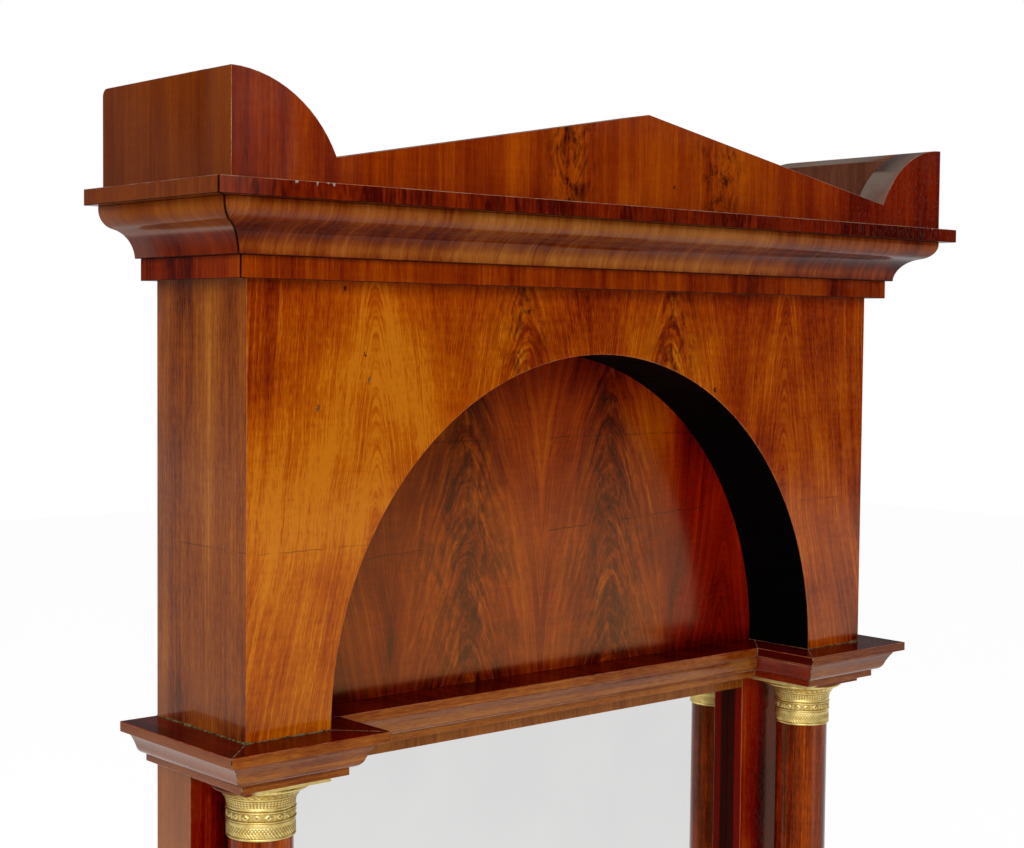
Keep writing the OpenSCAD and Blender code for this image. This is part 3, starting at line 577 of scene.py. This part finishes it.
def finished(node, face, edge=None, back=None, turned=None, lining=None, top=None, under=None, crack=None,
             width=0.5, seam=None):
    """A copy of a CAD node with softened arrises that stands for it.

    Materials: face, and if given edge for the arrises, back for what faces the wall, turned for the outer sides,
    lining for a reveal, top for what lies flat, under for arrises at the foot and crack for those at a mitre. An
    arris stays sharp at the depth called seam, where the next piece is flush. Both measures are in millimetres."""
    shape = bmesh.new()
    shape.from_mesh(nodes[node].data)
    bmesh.ops.remove_doubles(shape, verts=shape.verts, dist=SAME_POINT)
    bmesh.ops.dissolve_limit(shape, angle_limit=FLAT_TURN, verts=shape.verts, edges=shape.edges)
    shape.normal_update()
    slots = [face]

    def slot_of(material):
        if material is None:
            return 0
        if material not in slots:
            slots.append(material)
        return slots.index(material)

    def is_sharp(line):
        if not line.is_manifold or line.calc_face_angle(0) <= ARRIS_TURN:
            return False
        return seam is None or any(abs(vert.co.y - seam * MM) > ON_SEAM for vert in line.verts)

    reach = max(abs(vert.co.x) for vert in shape.verts)
    foot = min(vert.co.z for vert in shape.verts)
    front_y = min(vert.co.y for vert in shape.verts)
    mitres = []
    for part in shape.faces:
        x, y, z = part.normal
        if abs(z) < UPRIGHT and MITRE_LEAST < abs(x) < MITRE_MOST:
            mitres.append((part.normal.copy(), part.calc_center_median().dot(part.normal)))
        inside = max(abs(vert.co.x) for vert in part.verts) < reach - REVEAL_EDGE
        part.material_index = 0
        if y > FACES:
            part.material_index = slot_of(back)
        elif z > FACES:
            part.material_index = slot_of(top)
        elif lining and abs(y) < ACROSS and inside:
            part.material_index = slot_of(lining)
        elif turned and abs(x) > FACES:
            part.material_index = slot_of(turned)

    made = bmesh.ops.bevel(shape, geom=[line for line in shape.edges if is_sharp(line)], offset=width * MM,
                           segments=ARRIS_STEPS, profile=0.5, affect="EDGES", clamp_overlap=True)
    shape.normal_update()
    for part in made["faces"]:
        middle = part.calc_center_median()
        if crack and any(abs(middle.dot(way) - level) < MITRE_REACH * width * MM for way, level in mitres):
            part.material_index = slot_of(crack)
        elif under and part.normal.z < DOWNWARD and middle.z < foot + FOOT_REACH * width * MM:
            part.material_index = slot_of(under)
        elif lining and middle.y > front_y + REVEAL_EDGE and abs(middle.x) < reach - REVEAL_RIM:
            part.material_index = slot_of(lining)
        elif turned and abs(part.normal.x) > ARRIS_FACES:
            part.material_index = slot_of(turned)
        else:
            part.material_index = slot_of(edge)
    mesh = bpy.data.meshes.new(node + "_finished")
    shape.to_mesh(mesh)
    shape.free()
    as_piece(node + "_finished", mesh, slots, node)


def as_piece(name, mesh, materials, *replaced):
    """Makes an object of a mesh, with its materials, riding on the frame in the place of the named nodes."""
    for material in materials:
        mesh.materials.append(material)
    mesh.polygons.foreach_set("use_smooth", [True] * len(mesh.polygons))
    mesh.set_sharp_from_angle(angle=SMOOTH_TURN)
    piece = new_object(name, mesh)
    weights = piece.modifiers.new("weights", "WEIGHTED_NORMAL")
    weights.keep_sharp = True
    weights.weight = 100
    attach(piece, "root")
    if replaced:
        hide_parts(*replaced)


def repaint(node, material):
    """Gives a CAD node that stays a better material."""
    mesh = nodes[node].data
    for index in range(len(mesh.materials)):
        mesh.materials[index] = material


# The stamped sleeve of a capital, in millimetres: how far its rim stands out, the half-round bead at its foot,
# the rings with the groove beside each, where the flare begins and the foot of the half-round rim
RIM_OUT = 11.4
FOOT_BEAD = 2.6
RINGS = (14.1, 21.3, 31.2)
RING_OUT = 0.8
RING_GROOVE = 0.45
FLARE_FOOT = 24.2
RIM_FOOT = 37.2
SLEEVE_WALL = 1.0
ROUND_STEPS = 360
ROW_STEP = 0.28
# Its patterns, each with how many go around: ropes, which cross further up, lozenges with an eye between bars,
# small squares, slanting leaves and the beads of the rim
ROPES, ROPE_PITCH, CROSS_FOOT, ROPE_TOP = 60, 3.4, 5.6, 9.6
LOZENGES, LOZENGE_PITCH, LOZENGE_MIDDLE = 18, 9.0, 17.9
LOZENGE_WIDE, LOZENGE_HIGH, LOZENGE_EYE = 3.4, 2.6, 0.62
BAR_OFF, BAR_HALF = 4.1, 0.4
SWELL_FOOT, SWELL_TOP = 22.1, 24.8
SQUARES, SQUARE_HIGH = 64, 1.7
LEAVES, LEAF_FOOT, LEAF_PITCH, VEIN_HALF = 36, 32, 5.6, 0.06
BEADS = 52


def sleeve_outline(z, height):
    """How far the plain sleeve stands out of its neck at a height."""
    rim_r = (height - RIM_FOOT) / 2
    flare_top = RIM_OUT - rim_r
    flare_r = (flare_top ** 2 + (RIM_FOOT - FLARE_FOOT) ** 2) / (2 * flare_top)
    if z < FOOT_BEAD:
        bead_r = FOOT_BEAD / 2
        return math.sqrt(max(0.0, bead_r ** 2 - (z - bead_r) ** 2)) - RING_OUT
    if z < FLARE_FOOT:
        return 0.0
    if z < RIM_FOOT:
        return flare_r - math.sqrt(flare_r ** 2 - (z - FLARE_FOOT) ** 2)
    return flare_top + math.sqrt(max(0.0, rim_r ** 2 - (z - RIM_FOOT - rim_r) ** 2))


def arc(turns):
    """A sine that rises and falls once from 0 to 1."""
    return math.sin(math.pi * turns)


def stamped(turns, z):
    """Height of the stamped pattern in millimetres, and how bright it is from 0 to 1. turns runs from 0 to 1."""
    for ring in RINGS:
        apart = abs(z - ring)
        if apart < RING_OUT:
            return math.sqrt(RING_OUT ** 2 - apart ** 2), 1.0
        if apart < RING_OUT + RING_GROOVE:
            return -0.1, 0.05
    if z < FOOT_BEAD:
        return 0.0, 0.9
    if z < ROPE_TOP:
        rope = abs(arc(ROPES * turns + (z - FOOT_BEAD) / ROPE_PITCH))
        cross = abs(arc(ROPES * turns - (z - FOOT_BEAD) / ROPE_PITCH))
        height = rope if z < CROSS_FOOT else rope * cross
        return 0.4 * height, 0.1 + 0.9 * height
    if z < RINGS[0]:
        return 0.1 * arc((z - ROPE_TOP) / (RINGS[0] - ROPE_TOP)), 0.85
    if z < RINGS[1]:
        across = ((LOZENGES * turns) % 1.0 - 0.5) * LOZENGE_PITCH
        lozenge = 1.0 - abs(across) / LOZENGE_WIDE - abs(z - LOZENGE_MIDDLE) / LOZENGE_HIGH
        if lozenge > LOZENGE_EYE:
            return 0.15, 0.0
        if lozenge > 0:
            return 0.2 + 0.7 * lozenge, 0.5 + 0.8 * lozenge
        bar = max(0.0, 1.0 - abs(abs(across) - BAR_OFF) / BAR_HALF)
        return 0.25 * bar, 0.35 + 0.5 * bar
    if z < SWELL_TOP:
        return 0.35 * arc((z - SWELL_FOOT) / (SWELL_TOP - SWELL_FOOT)), 0.95
    if z < RINGS[2]:
        square = abs(arc(SQUARES * turns)) * abs(arc((z - SWELL_TOP) / SQUARE_HIGH))
        return 0.4 * square, 0.05 + 0.95 * square
    if z < RIM_FOOT:
        leaf = arc((LEAVES * turns + (z - LEAF_FOOT) / LEAF_PITCH) % 1.0)
        vein = 0.35 * max(0.0, 1.0 - abs(leaf - 1.0) / VEIN_HALF)
        return 0.55 * leaf, max(0.0, 0.15 + 0.85 * leaf - vein)
    bead = abs(arc(BEADS * turns))
    return 0.1 * bead, 0.65 + 0.35 * bead


def stamped_sleeve(hand):
    """The gilt sleeve at the head of a column, with its stamped bands as real relief."""
    low, high = (Vector(corner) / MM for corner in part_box(f"capital_{hand}"))
    middle = (low + high) / 2
    height = high.z - low.z
    neck_r = (high.x - low.x) / 2 - RIM_OUT
    count = round(height / ROW_STEP)
    heights = [height * index / count for index in range(count + 1)]
    rows = [(0.0, neck_r - SLEEVE_WALL, False)]
    rows += [(z, neck_r + sleeve_outline(z, height), True) for z in heights]
    rows.append((height, neck_r - SLEEVE_WALL, False))
    points, relief, quads = [], [], []
    for row, (z, radius, is_outside) in enumerate(rows):
        here, above = row * ROUND_STEPS, (row + 1) % len(rows) * ROUND_STEPS
        for step in range(ROUND_STEPS):
            turns = step / ROUND_STEPS
            raised, bright = stamped(turns, z) if is_outside else (0.0, 0.5)
            angle, reach = 2 * math.pi * turns, radius + raised
            points.append(Vector((middle.x + reach * math.cos(angle), middle.y + reach * math.sin(angle),
                                  low.z + z)) * MM)
            relief.append(bright)
            after = (step + 1) % ROUND_STEPS
            quads.append((here + step, here + after, above + after, above + step))
    mesh = bpy.data.meshes.new(f"capital_{hand}_stamped")
    mesh.from_pydata(points, [], quads)
    mesh.attributes.new("relief", "FLOAT", "POINT").data.foreach_set("value", relief)
    as_piece(f"capital_{hand}_stamped", mesh, (stamped_gold,), f"capital_{hand}")


# The bead of old glue and dirt at the foot of the box, in millimetres: its size and steps, how far it runs along
# the front, how fast and how far its size changes, and its section as shares of the size
DIRT_SIZE = 1.7
DIRT_STEP = 1.5
FOOT_WIDTH = 74
DIRT_WAVES, DIRT_SEED = 0.11, 3.7
DIRT_LEAST, DIRT_SWELL = 0.35, 1.3
DIRT_SECTION = ((-0.2, -0.05), (1.0, -0.05), (0.55, 0.5), (-0.2, 0.9))


def dirt_line(hand):
    """Old glue and dirt in the corner where the box stands on the impost: a thin ragged bead around a foot."""
    low, high = (Vector(corner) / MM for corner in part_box(f"frieze_side_{hand}"))
    outer = low.x if hand == "left" else high.x
    inward = 1 if hand == "left" else -1
    board_low = Vector(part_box("arch_board")[0]) / MM
    foot, front_y, back_y = board_low.z, board_low.y, high.y
    # Places along the bead, each with the way that is out of the corner there
    count = round((back_y - front_y) / DIRT_STEP)
    path = [(outer, back_y - (back_y - front_y) * index / count, -inward, 0.0) for index in range(count)]
    path.append((outer, front_y, -inward, -1.0))
    count = round(FOOT_WIDTH / DIRT_STEP)
    path += [(outer + inward * FOOT_WIDTH * index / count, front_y, 0.0, -1.0) for index in range(1, count + 1)]
    points, quads = [], []
    for x, y, out_x, out_y in path:
        uneven = noise.noise(Vector((x * DIRT_WAVES, y * DIRT_WAVES, DIRT_SEED)))
        size = DIRT_SIZE * (DIRT_LEAST + DIRT_SWELL * abs(uneven))
        for out, rise in DIRT_SECTION:
            points.append(Vector((x + out_x * out * size, y + out_y * out * size, foot + rise * size)) * MM)
    sides = len(DIRT_SECTION)
    last = sides * (len(path) - 1)
    for here in range(0, last, sides):
        for corner in range(sides):
            after = (corner + 1) % sides
            quads.append((here + corner, here + sides + corner, here + sides + after, here + after))
    quads += [tuple(reversed(range(sides))), tuple(range(last, last + sides))]
    mesh = bpy.data.meshes.new(f"dirt_line_{hand}")
    mesh.from_pydata(points, [], quads)
    shape = bmesh.new()
    shape.from_mesh(mesh)
    bmesh.ops.recalc_face_normals(shape, faces=shape.faces)
    shape.to_mesh(mesh)
    shape.free()
    as_piece(f"dirt_line_{hand}", mesh, (crust,))


add_camera()

# A step below the whole object, and one between the sill and the impost, which share their materials
EVERYWHERE = ("z", -2000, -1999)
ON_THE_IMPOST = ("z", 1280, 1281)

frieze_spots = (
    (-264.6, 1652, 2.0, KNOT), (-246.0, 1602.6, 1.7, KNOT), (-242.1, 1583.8, 2.0, (0.1, 0.06, 0.03)),
    (-288.3, 1563.8, 2.2, (0.1, 0.05, 0.02)), (139.6, 1571, 2.4, KNOT))
panel_spots = ((-26.3, 1575.4, 1.6, KNOT), (67.8, 1498, 1.4, KNOT), (-90, 1402, 1.6, KNOT), (267, 1402, 1.6, KNOT))
slab_spots = (
    (-349, 1722, 1.3, CHIP), (-332, 1722, 1.5, CHIP), (-323, 1722.4, 1.0, CHIP), (-318, 1722, 1.2, CHIP),
    (-196, 1722.4, 0.7, CHIP), (61, 1722.4, 0.8, CHIP), (372, 1722, 1.0, CHIP))
front_look = dict(
    shift=(3.1, 0, 0), figured=1660, crotch=20.0, lift=0.41, contrast=1.15, fine=0.85,
    flecks=((88, 1585, 26, 0.9),), blush=(("x", 60, 200, 0.15), ("z", 1615, 1655, 0.2)),
    drift=(("x", -70, -270, 0.26), ("x", 180, 330, 0.03), ("z", 1430, 1345, -0.11)))
# The crest carries a painted sheen towards its left end and along its top.
crest_look = dict(
    shift=(7.4, 0, 0), lift=0.48, contrast=0.55, fine=0.5, flecks=((86, 1700, 27, 1.0),),
    drift=(("x", 60, 325, -0.31), ("x", -80, -240, -0.14)), blush=(("x", 120, 330, 0.45),),
    painted_sheen=(("x", -282, -296, 0.015), ("x", -335, -352, 0.05), ("z", 1765, 1800, 0.03)))
# The sides carry a painted sheen towards the back and towards the foot.
long_side = dict(
    shift=(2.3, 5.0, 0), lift=0.39, contrast=0.85, fine=0.9, specular=0.4,
    painted_sheen=(("y", 60, 95, 0.1), ("z", 1450, 1330, 0.02)))
short_side = dict(shift=(9.0, 2.0, 0), lift=0.24, contrast=0.35, fine=0.5, specular=0.4)

front = wood("frieze_veneer", MAHOGANY, **front_look, spots=frieze_spots, splits=((1463, 0.012, 6, 0.55),))
front_edge = wood("frieze_arris", MAHOGANY, **front_look, wear=0.35)
crest = wood("crest_veneer", MAHOGANY, **crest_look, dust=0.9, spots=((30, 1741, 1.4, KNOT),))
crest_edge = wood("crest_arris", MAHOGANY, **crest_look, wear=0.6, dust=0.5)
# The panel is darker at its foot above the impost as painted shade; its redder, darker top under the arch and its
# right edge are partly the wood's own colour and partly painted shade.
panel = wood(
    "panel_veneer", MAHOGANY, shift=(11.8, 0, 0), figured=1606, feather=PANEL_FEATHER, crotch=58.0, lift=0.395,
    contrast=0.9, fine=0.5, plume=0.95, spots=panel_spots,
    blush=(("x", 140, 185, 1.0), ("z", 1520, 1600, 0.75)),
    drift=(("z", 1342, 1325, -0.26), ("x", 150, 190, -0.06)),
    splits=((1447, 0.05, 9, 0.85), (1529, 0.0, 4, 0.6)), shine=0.16, specular=0.85, tint=PANEL_TINT)
side = wood("side_veneer", HAZEL, **long_side, splits=((1461, 0.0, 8, 0.6),))
side_edge = wood("side_arris", HAZEL, **long_side, wear=0.5)
ear_side = wood("ear_veneer", HAZEL, **short_side, dust=0.9)
ear_edge = wood("ear_arris", HAZEL, **short_side, wear=0.6, dust=0.5)
ear_inner = wood(
    "ear_inner", RAW, shift=(10.0, 2.0, 0), lift=0.85, contrast=0.6, shine=0.4, specular=0.15, dust=0.9,
    blush=((*EVERYWHERE, 0.4),))
raw = wood("raw_mahogany", RAW, along="Y", lift=0.85, shine=0.6, specular=0.3, pores=0.5)

# The slab front carries a painted sheen at its left end.
slab_front = wood(
    "slab_front", MAHOGANY, along="YZ", shift=(4.0, 0, 0), lift=0.15, contrast=0.45, fine=0.6, ribbon=0.6,
    dust=0.8, spots=slab_spots, drift=(("x", 100, 350, -0.14),), blush=(("x", 0, 350, 0.3),),
    painted_sheen=(("x", -355, -405, 0.12),))
slab_side = wood(
    "slab_side", HAZEL, along="XZ", shift=(5.0, 1.0, 0), lift=0.27, contrast=0.3, ribbon=0.15, dust=0.8,
    specular=0.5)
slab_edge = wood("slab_arris", MAHOGANY, along="YZ", lift=0.3, wear=0.75, dust=0.5, spots=slab_spots)
# Painted light on the cyma front: highlights on the round and in the hollow, shade at the turn, and a lilac
# highlight on the round.
cyma_front = wood(
    "cyma_front", GOLDEN, along="YZ", shift=(6.0, 0, 0), lift=0.42, contrast=0.5, fine=0.6, ribbon=0.5,
    shine=0.1, specular=0.12, drift=(("x", 60, 350, -0.26), ("x", -120, -340, -0.12)),
    blush=(("x", 60, 350, 0.4), ("x", -120, -340, 0.25)),
    glow=(("z", 1705, 7.0, 0.36), ("z", 1691, 3.5, -0.1), ("z", 1679, 5.0, 0.24)),
    painted_highlights=(("z", 1700, 2.5, 0.1),))
# The cyma side's hollow is darkened and reddened as painted shade; a highlight on the round, a lilac line at the
# turn and a grey sheen towards the back end are painted on.
cyma_side = wood(
    "cyma_side", HAZEL, along="XZ", shift=(6.5, 3.0, 0), lift=0.44, contrast=0.35, fine=0.5, ribbon=0.4,
    shine=0.09, specular=0.02, drift=(("z", 1692, 1687, -0.26),), blush=(("z", 1692, 1687, 0.55),),
    glow=(("z", 1704, 4.0, 0.12),), painted_highlights=(("z", 1690.5, 1.4, 0.45),), painted_sheen=(("y", 40, 98, 0.3),))
strip_front = wood("strip_front", MAHOGANY, along="YZ", shift=(8.0, 0, 0), lift=0.34, contrast=0.65, fine=0.5)
strip_side = wood(
    "strip_side", MAHOGANY, along="XZ", shift=(8.5, 2.0, 0), lift=0.12, contrast=0.5, specular=0.1,
    drift=(("y", 20, 5, 0.24),))

# The band on the ogee's upper part is a painted highlight.
impost_run = wood(
    "impost_run", GOLDEN, along="XY", shift=(1.0, 0, 4.0), lift=0.45, contrast=0.6, fine=0.9, specular=0.45,
    drift=(("y", -20, 20, 0.12), ("x", 240, 330, -0.07)), glow=(("z", 1303, 3.0, 0.12),))
turned_look = dict(along="XY", shift=(1.5, 2.0, 4.0), contrast=0.45)
impost_turn = wood("impost_turn", HAZEL, **turned_look, lift=0.28, specular=0.5)
# The inner returns are painted darker and redder than the outer ones as shade, most on the impost's upper part.
impost_return = wood(
    "impost_return", MAHOGANY, **turned_look, lift=0.2, shine=0.2, specular=0.1,
    drift=(("z", 1313, 1316, -0.36),), blush=((*ON_THE_IMPOST, 0.3),))
impost_top = wood("impost_top", CHERRY, along="YZ", shift=(1.0, 3.0, 4.0), lift=0.24, contrast=0.5, specular=0.08)
impost_edge = wood("impost_arris", MAHOGANY, along="YZ", shift=(1.0, 0, 4.0), lift=0.3, contrast=0.5, wear=0.35)
rail = wood(
    "rail_veneer", GOLDEN, along="YZ", shift=(2.0, 0, 7.0), lift=0.58, contrast=0.6, fine=0.7, ribbon=0.5,
    specular=0.6)

# Each post face darkens towards the column in front of it: painted shade.
post_look = dict(shift=(12.0, 3.0, 0), lift=0.58, contrast=0.9, specular=0.35)
post_faces = {
    "left": wood("post_face_left", ROSE, **post_look, drift=(("x", -342, -316, -0.5),)),
    "right": wood("post_face_right", ROSE, **post_look, drift=(("x", 270, 271, 0.08), ("x", 288, 304, -0.58)))}
post_side = wood("post_side", HAZEL, shift=(12.5, 3.0, 0), lift=0.46, contrast=0.6)
# The reveal darkens towards the mirror plate: painted shade.
post_reveal = wood(
    "post_reveal", ROSE, shift=(13.0, 3.0, 0), lift=0.3, contrast=0.4, specular=0.06,
    drift=(("y", 51, 55, -0.45),))
# The arrises of the posts carry a lilac painted sheen all over.
post_edge = wood("post_arris", CHERRY, shift=(12.0, 3.0, 0), lift=0.45, wear=0.4, painted_sheen=((*EVERYWHERE, 0.2),))
# The lines along the shafts are painted highlights.
shaft_look = dict(shift=(17.3, 9.1, 3.0), contrast=0.95, specular=0.38)
shafts = {
    "left": wood("column_left_polish", MAHOGANY, **shaft_look, lift=0.23, painted_highlights=(("x", -320, 3.0, 0.12),)),
    "right": wood("column_right_polish", MAHOGANY, **shaft_look, lift=0.17, drift=(("x", 312, 332, 0.12),),
                  painted_highlights=(("x", 305, 3.0, 0.12), ("x", 321, 1.5, 0.12)))}

timber = dict(shine=0.65, specular=0.3, pores=0.15, fine=1.0)
pine = wood("old_pine", TIMBER, **timber, shift=(20.0, 0, 0))
pine_across = wood("pine_across", TIMBER, **timber, along="X", shift=(23.0, 0, 5.0), lift=0.58)
pine_boards = {
    place: wood(f"pine_board_{place}", TIMBER, **timber, shift=shift, lift=lift) for place, shift, lift in
    (("left", (31.0, 0, 2.0), 0.44), ("middle", (37.0, 0, 9.0), 0.62), ("right", (43.0, 0, 6.0), 0.5))}
# The dark of open joints, which also serves as painted shadow on the lowest arrises of the cornice pieces
gap_and_shadow = crumbs("open_joint_and_shadow", (0.004, 0.0015, 0.001), (0.028, 0.012, 0.005))
filler = crumbs("old_filler", (0.03, 0.014, 0.006), (0.36, 0.24, 0.12))
crust = crumbs("old_glue", (0.035, 0.02, 0.007), (0.17, 0.125, 0.05))
black = ebony_black()
# The steps along X darken the outer parts of the sleeves and of the gilt plates as painted shade
stamped_gold = gilt("stamped_gilding", is_stamped=True, dull=((-340, -347),))
plain_gold = gilt("plain_gilding")
plate_gold = gilt("plate_gilding", dull=((-338, -347), (283, 292)))
glass = silvered()
metal = iron()

# The depths at which the boards of the box and of the crest meet flush
BOX_SEAM = -10.0
CREST_SEAM = -51.6
# How wide an arris is softened, where it isn't the usual 0.5
CRISP, CLEAN, RUBBED, KNOCKED = 0.3, 0.4, 0.7, 0.8

# The lowest arrises of the cornice pieces take the dark joint colour as a painted shadow line where each moulding
# overhangs the next; the mitres take it as real open joints
joints_and_shadow = dict(under=gap_and_shadow, crack=gap_and_shadow)
moulded = dict(top=impost_top, crack=filler)

finished("arch_board", front, front_edge, back=pine, turned=side, lining=black, under=crust, seam=BOX_SEAM)
finished("pediment_board", crest, crest_edge, back=raw, turned=ear_side, seam=CREST_SEAM)
finished("niche_panel", panel)
for hand in ("left", "right"):
    finished(f"frieze_side_{hand}", side, side_edge, back=pine, under=crust, seam=BOX_SEAM)
    finished(f"ear_side_{hand}", ear_side, ear_edge, back=raw, lining=ear_inner, seam=CREST_SEAM)
    finished(f"post_{hand}", post_faces[hand], post_edge, back=pine, turned=post_side, lining=post_reveal)
    finished(f"pedestal_{hand}", post_side, post_edge, width=KNOCKED)
    finished(f"cornice_slab_{hand}", slab_side, slab_edge, back=pine, **joints_and_shadow)
    finished(f"cornice_cyma_{hand}", cyma_side, back=pine, **joints_and_shadow)
    finished(f"architrave_{hand}", strip_side, back=pine, **joints_and_shadow)
    for level in ("impost", "sill"):
        finished(f"{level}_front_{hand}", impost_run, impost_edge, **moulded, width=RUBBED)
        finished(f"{level}_inner_{hand}", impost_return, impost_edge, **moulded, width=RUBBED)
        finished(f"{level}_outer_{hand}", impost_turn, impost_edge, back=pine, **moulded, width=RUBBED)
    finished(f"abacus_{hand}", plate_gold, width=CLEAN)
    stamped_sleeve(hand)
    dirt_line(hand)
    repaint(f"column_{hand}", shafts[hand])
    repaint(f"column_base_{hand}", plain_gold)
    repaint(f"impost_core_{hand}", pine)
finished("cornice_slab_front", slab_front, slab_edge, **joints_and_shadow)
finished("cornice_cyma_front", cyma_front, **joints_and_shadow)
finished("architrave_front", strip_front, **joints_and_shadow)
for level in ("impost", "sill"):
    finished(f"{level}_centre", impost_run, impost_edge, **moulded)
for place in ("top", "bottom"):
    finished(f"{place}_rail", rail, back=pine, width=CLEAN)
finished("arch_soffit", black, width=CRISP)
for place, board in pine_boards.items():
    finished(f"backboard_{place}", board, gap_and_shadow, width=RUBBED)
finished("frieze_back", pine_across, gap_and_shadow, width=RUBBED)
for node, material in (("mirror_plate", glass), ("plate_blocks", pine), ("glue_blocks", pine),
                       ("cornice_board", pine_across), ("hanging_plates", metal), ("plate_screws", metal)):
    repaint(node, material)

FLOOR_SIZE = 26
FLOOR_COLOUR = (0.84, 0.84, 0.84, 1.0)
# How much whiter the floor is for the eye and for what mirrors it than for the light that it gives off, and
# where behind the object, in metres, the mirrored floor falls into the shade of the room, and how far
FLOOR_LIFT = 0.56
SHADE_FROM, SHADE_TO = 3.0, 6.5
SHADE_LEFT = 0.2


def add_floor():
    """A plain pale floor that the mirror stands on."""
    mesh = bpy.data.meshes.new("floor")
    half = FLOOR_SIZE / 2
    corners = [(-half, -half, 0), (half, -half, 0), (half, half, 0), (-half, half, 0)]
    mesh.from_pydata(corners, [], [(0, 1, 2, 3)])
    floor = new_object("floor", mesh)
    material, graph = new_material("floor")
    matte = graph.add("BsdfDiffuse", {"Color": FLOOR_COLOUR})
    path = graph.add("LightPath").outputs
    behind = graph.split(graph.add("TexCoord").outputs["Object"])[1]
    mirrored = graph.times(path["Is Glossy Ray"], graph.step(behind, SHADE_FROM, SHADE_TO, 1.0, SHADE_LEFT))
    seen = graph.total(path["Is Camera Ray"], mirrored, path["Is Transmission Ray"])
    lift = graph.add("Emission", {"Strength": graph.times(seen, FLOOR_LIFT)})
    both = graph.add("AddShader", {0: matte.outputs[0], 1: lift.outputs[0]})
    graph.add("OutputMaterial", {"Surface": both.outputs[0]})
    mesh.materials.append(material)


# The lamp's place, what it shines on and its sides, in metres, and its watts
LAMP_PLACE = Vector((-2.0, -1.8, 2.4))
LAMP_AIM = Vector((-0.1, 0, 1.4))
LAMP_SIZE = 1.5
LAMP_POWER = 46


def add_softbox():
    """A large soft lamp at the left in front."""
    data = bpy.data.lights.new("key", "AREA")
    data.shape = "RECTANGLE"
    data.size, data.size_y, data.energy = LAMP_SIZE, LAMP_SIZE, LAMP_POWER
    lamp = new_object("key", data)
    lamp.location = LAMP_PLACE
    lamp.rotation_mode = "QUATERNION"
    lamp.rotation_quaternion = (LAMP_AIM - LAMP_PLACE).to_track_quat("-Z", "Y")
    lamp.visible_camera = False


# The plain light of the room; which way the black flag stands that keeps the polish of the front deep, and its
# edges; how dark the flag and the wall behind are, and where both fade out at the horizon
ROOM_LIGHT = (0.5, 0.5, 0.5)
FLAG_WAY = (0.66, -0.75)
FLAG_EDGES = (0.84, 0.925)
FLAG_DARK, WALL_DARK = 0.99, 0.85
HORIZON = -0.14
FLAG_FADE, WALL_FADE = 0.05, 0.14


def add_world():
    """White for what looks past the object, soft for what lights it. What is polished also reflects a black
    flag at the right and the grey wall behind."""
    world = bpy.data.worlds.new("studio")
    bpy.context.scene.world = world
    world.use_nodes = True
    graph = Graph(world.node_tree)
    x, y, z = graph.split(graph.add("TexCoord").outputs["Generated"])
    side_on = graph.total(graph.times(x, FLAG_WAY[0]), graph.times(y, FLAG_WAY[1]))
    flag = graph.times(graph.step(side_on, *FLAG_EDGES), graph.step(z, HORIZON, HORIZON + FLAG_FADE))
    wall = graph.times(graph.step(y, 0.0, 0.5), graph.step(z, HORIZON, HORIZON + WALL_FADE))
    shade = graph.math("MAXIMUM", graph.times(flag, FLAG_DARK), graph.times(wall, WALL_DARK))
    mirrored = graph.minus(1.0, shade)
    path = graph.add("LightPath").outputs
    seen = graph.math("MAXIMUM", path["Is Camera Ray"], path["Is Transmission Ray"])
    strength = graph.mix(path["Is Glossy Ray"], ROOM_LIGHT, graph.vector(mirrored, mirrored, mirrored))
    strength = graph.mix(seen, strength, WHITE)
    back = graph.add("Background", {"Color": strength, "Strength": 1.0})
    graph.add("OutputWorld", {"Surface": back.outputs[0]})


add_floor()
add_world()
add_softbox()
bpy.context.scene.view_settings.view_transform = "Standard"
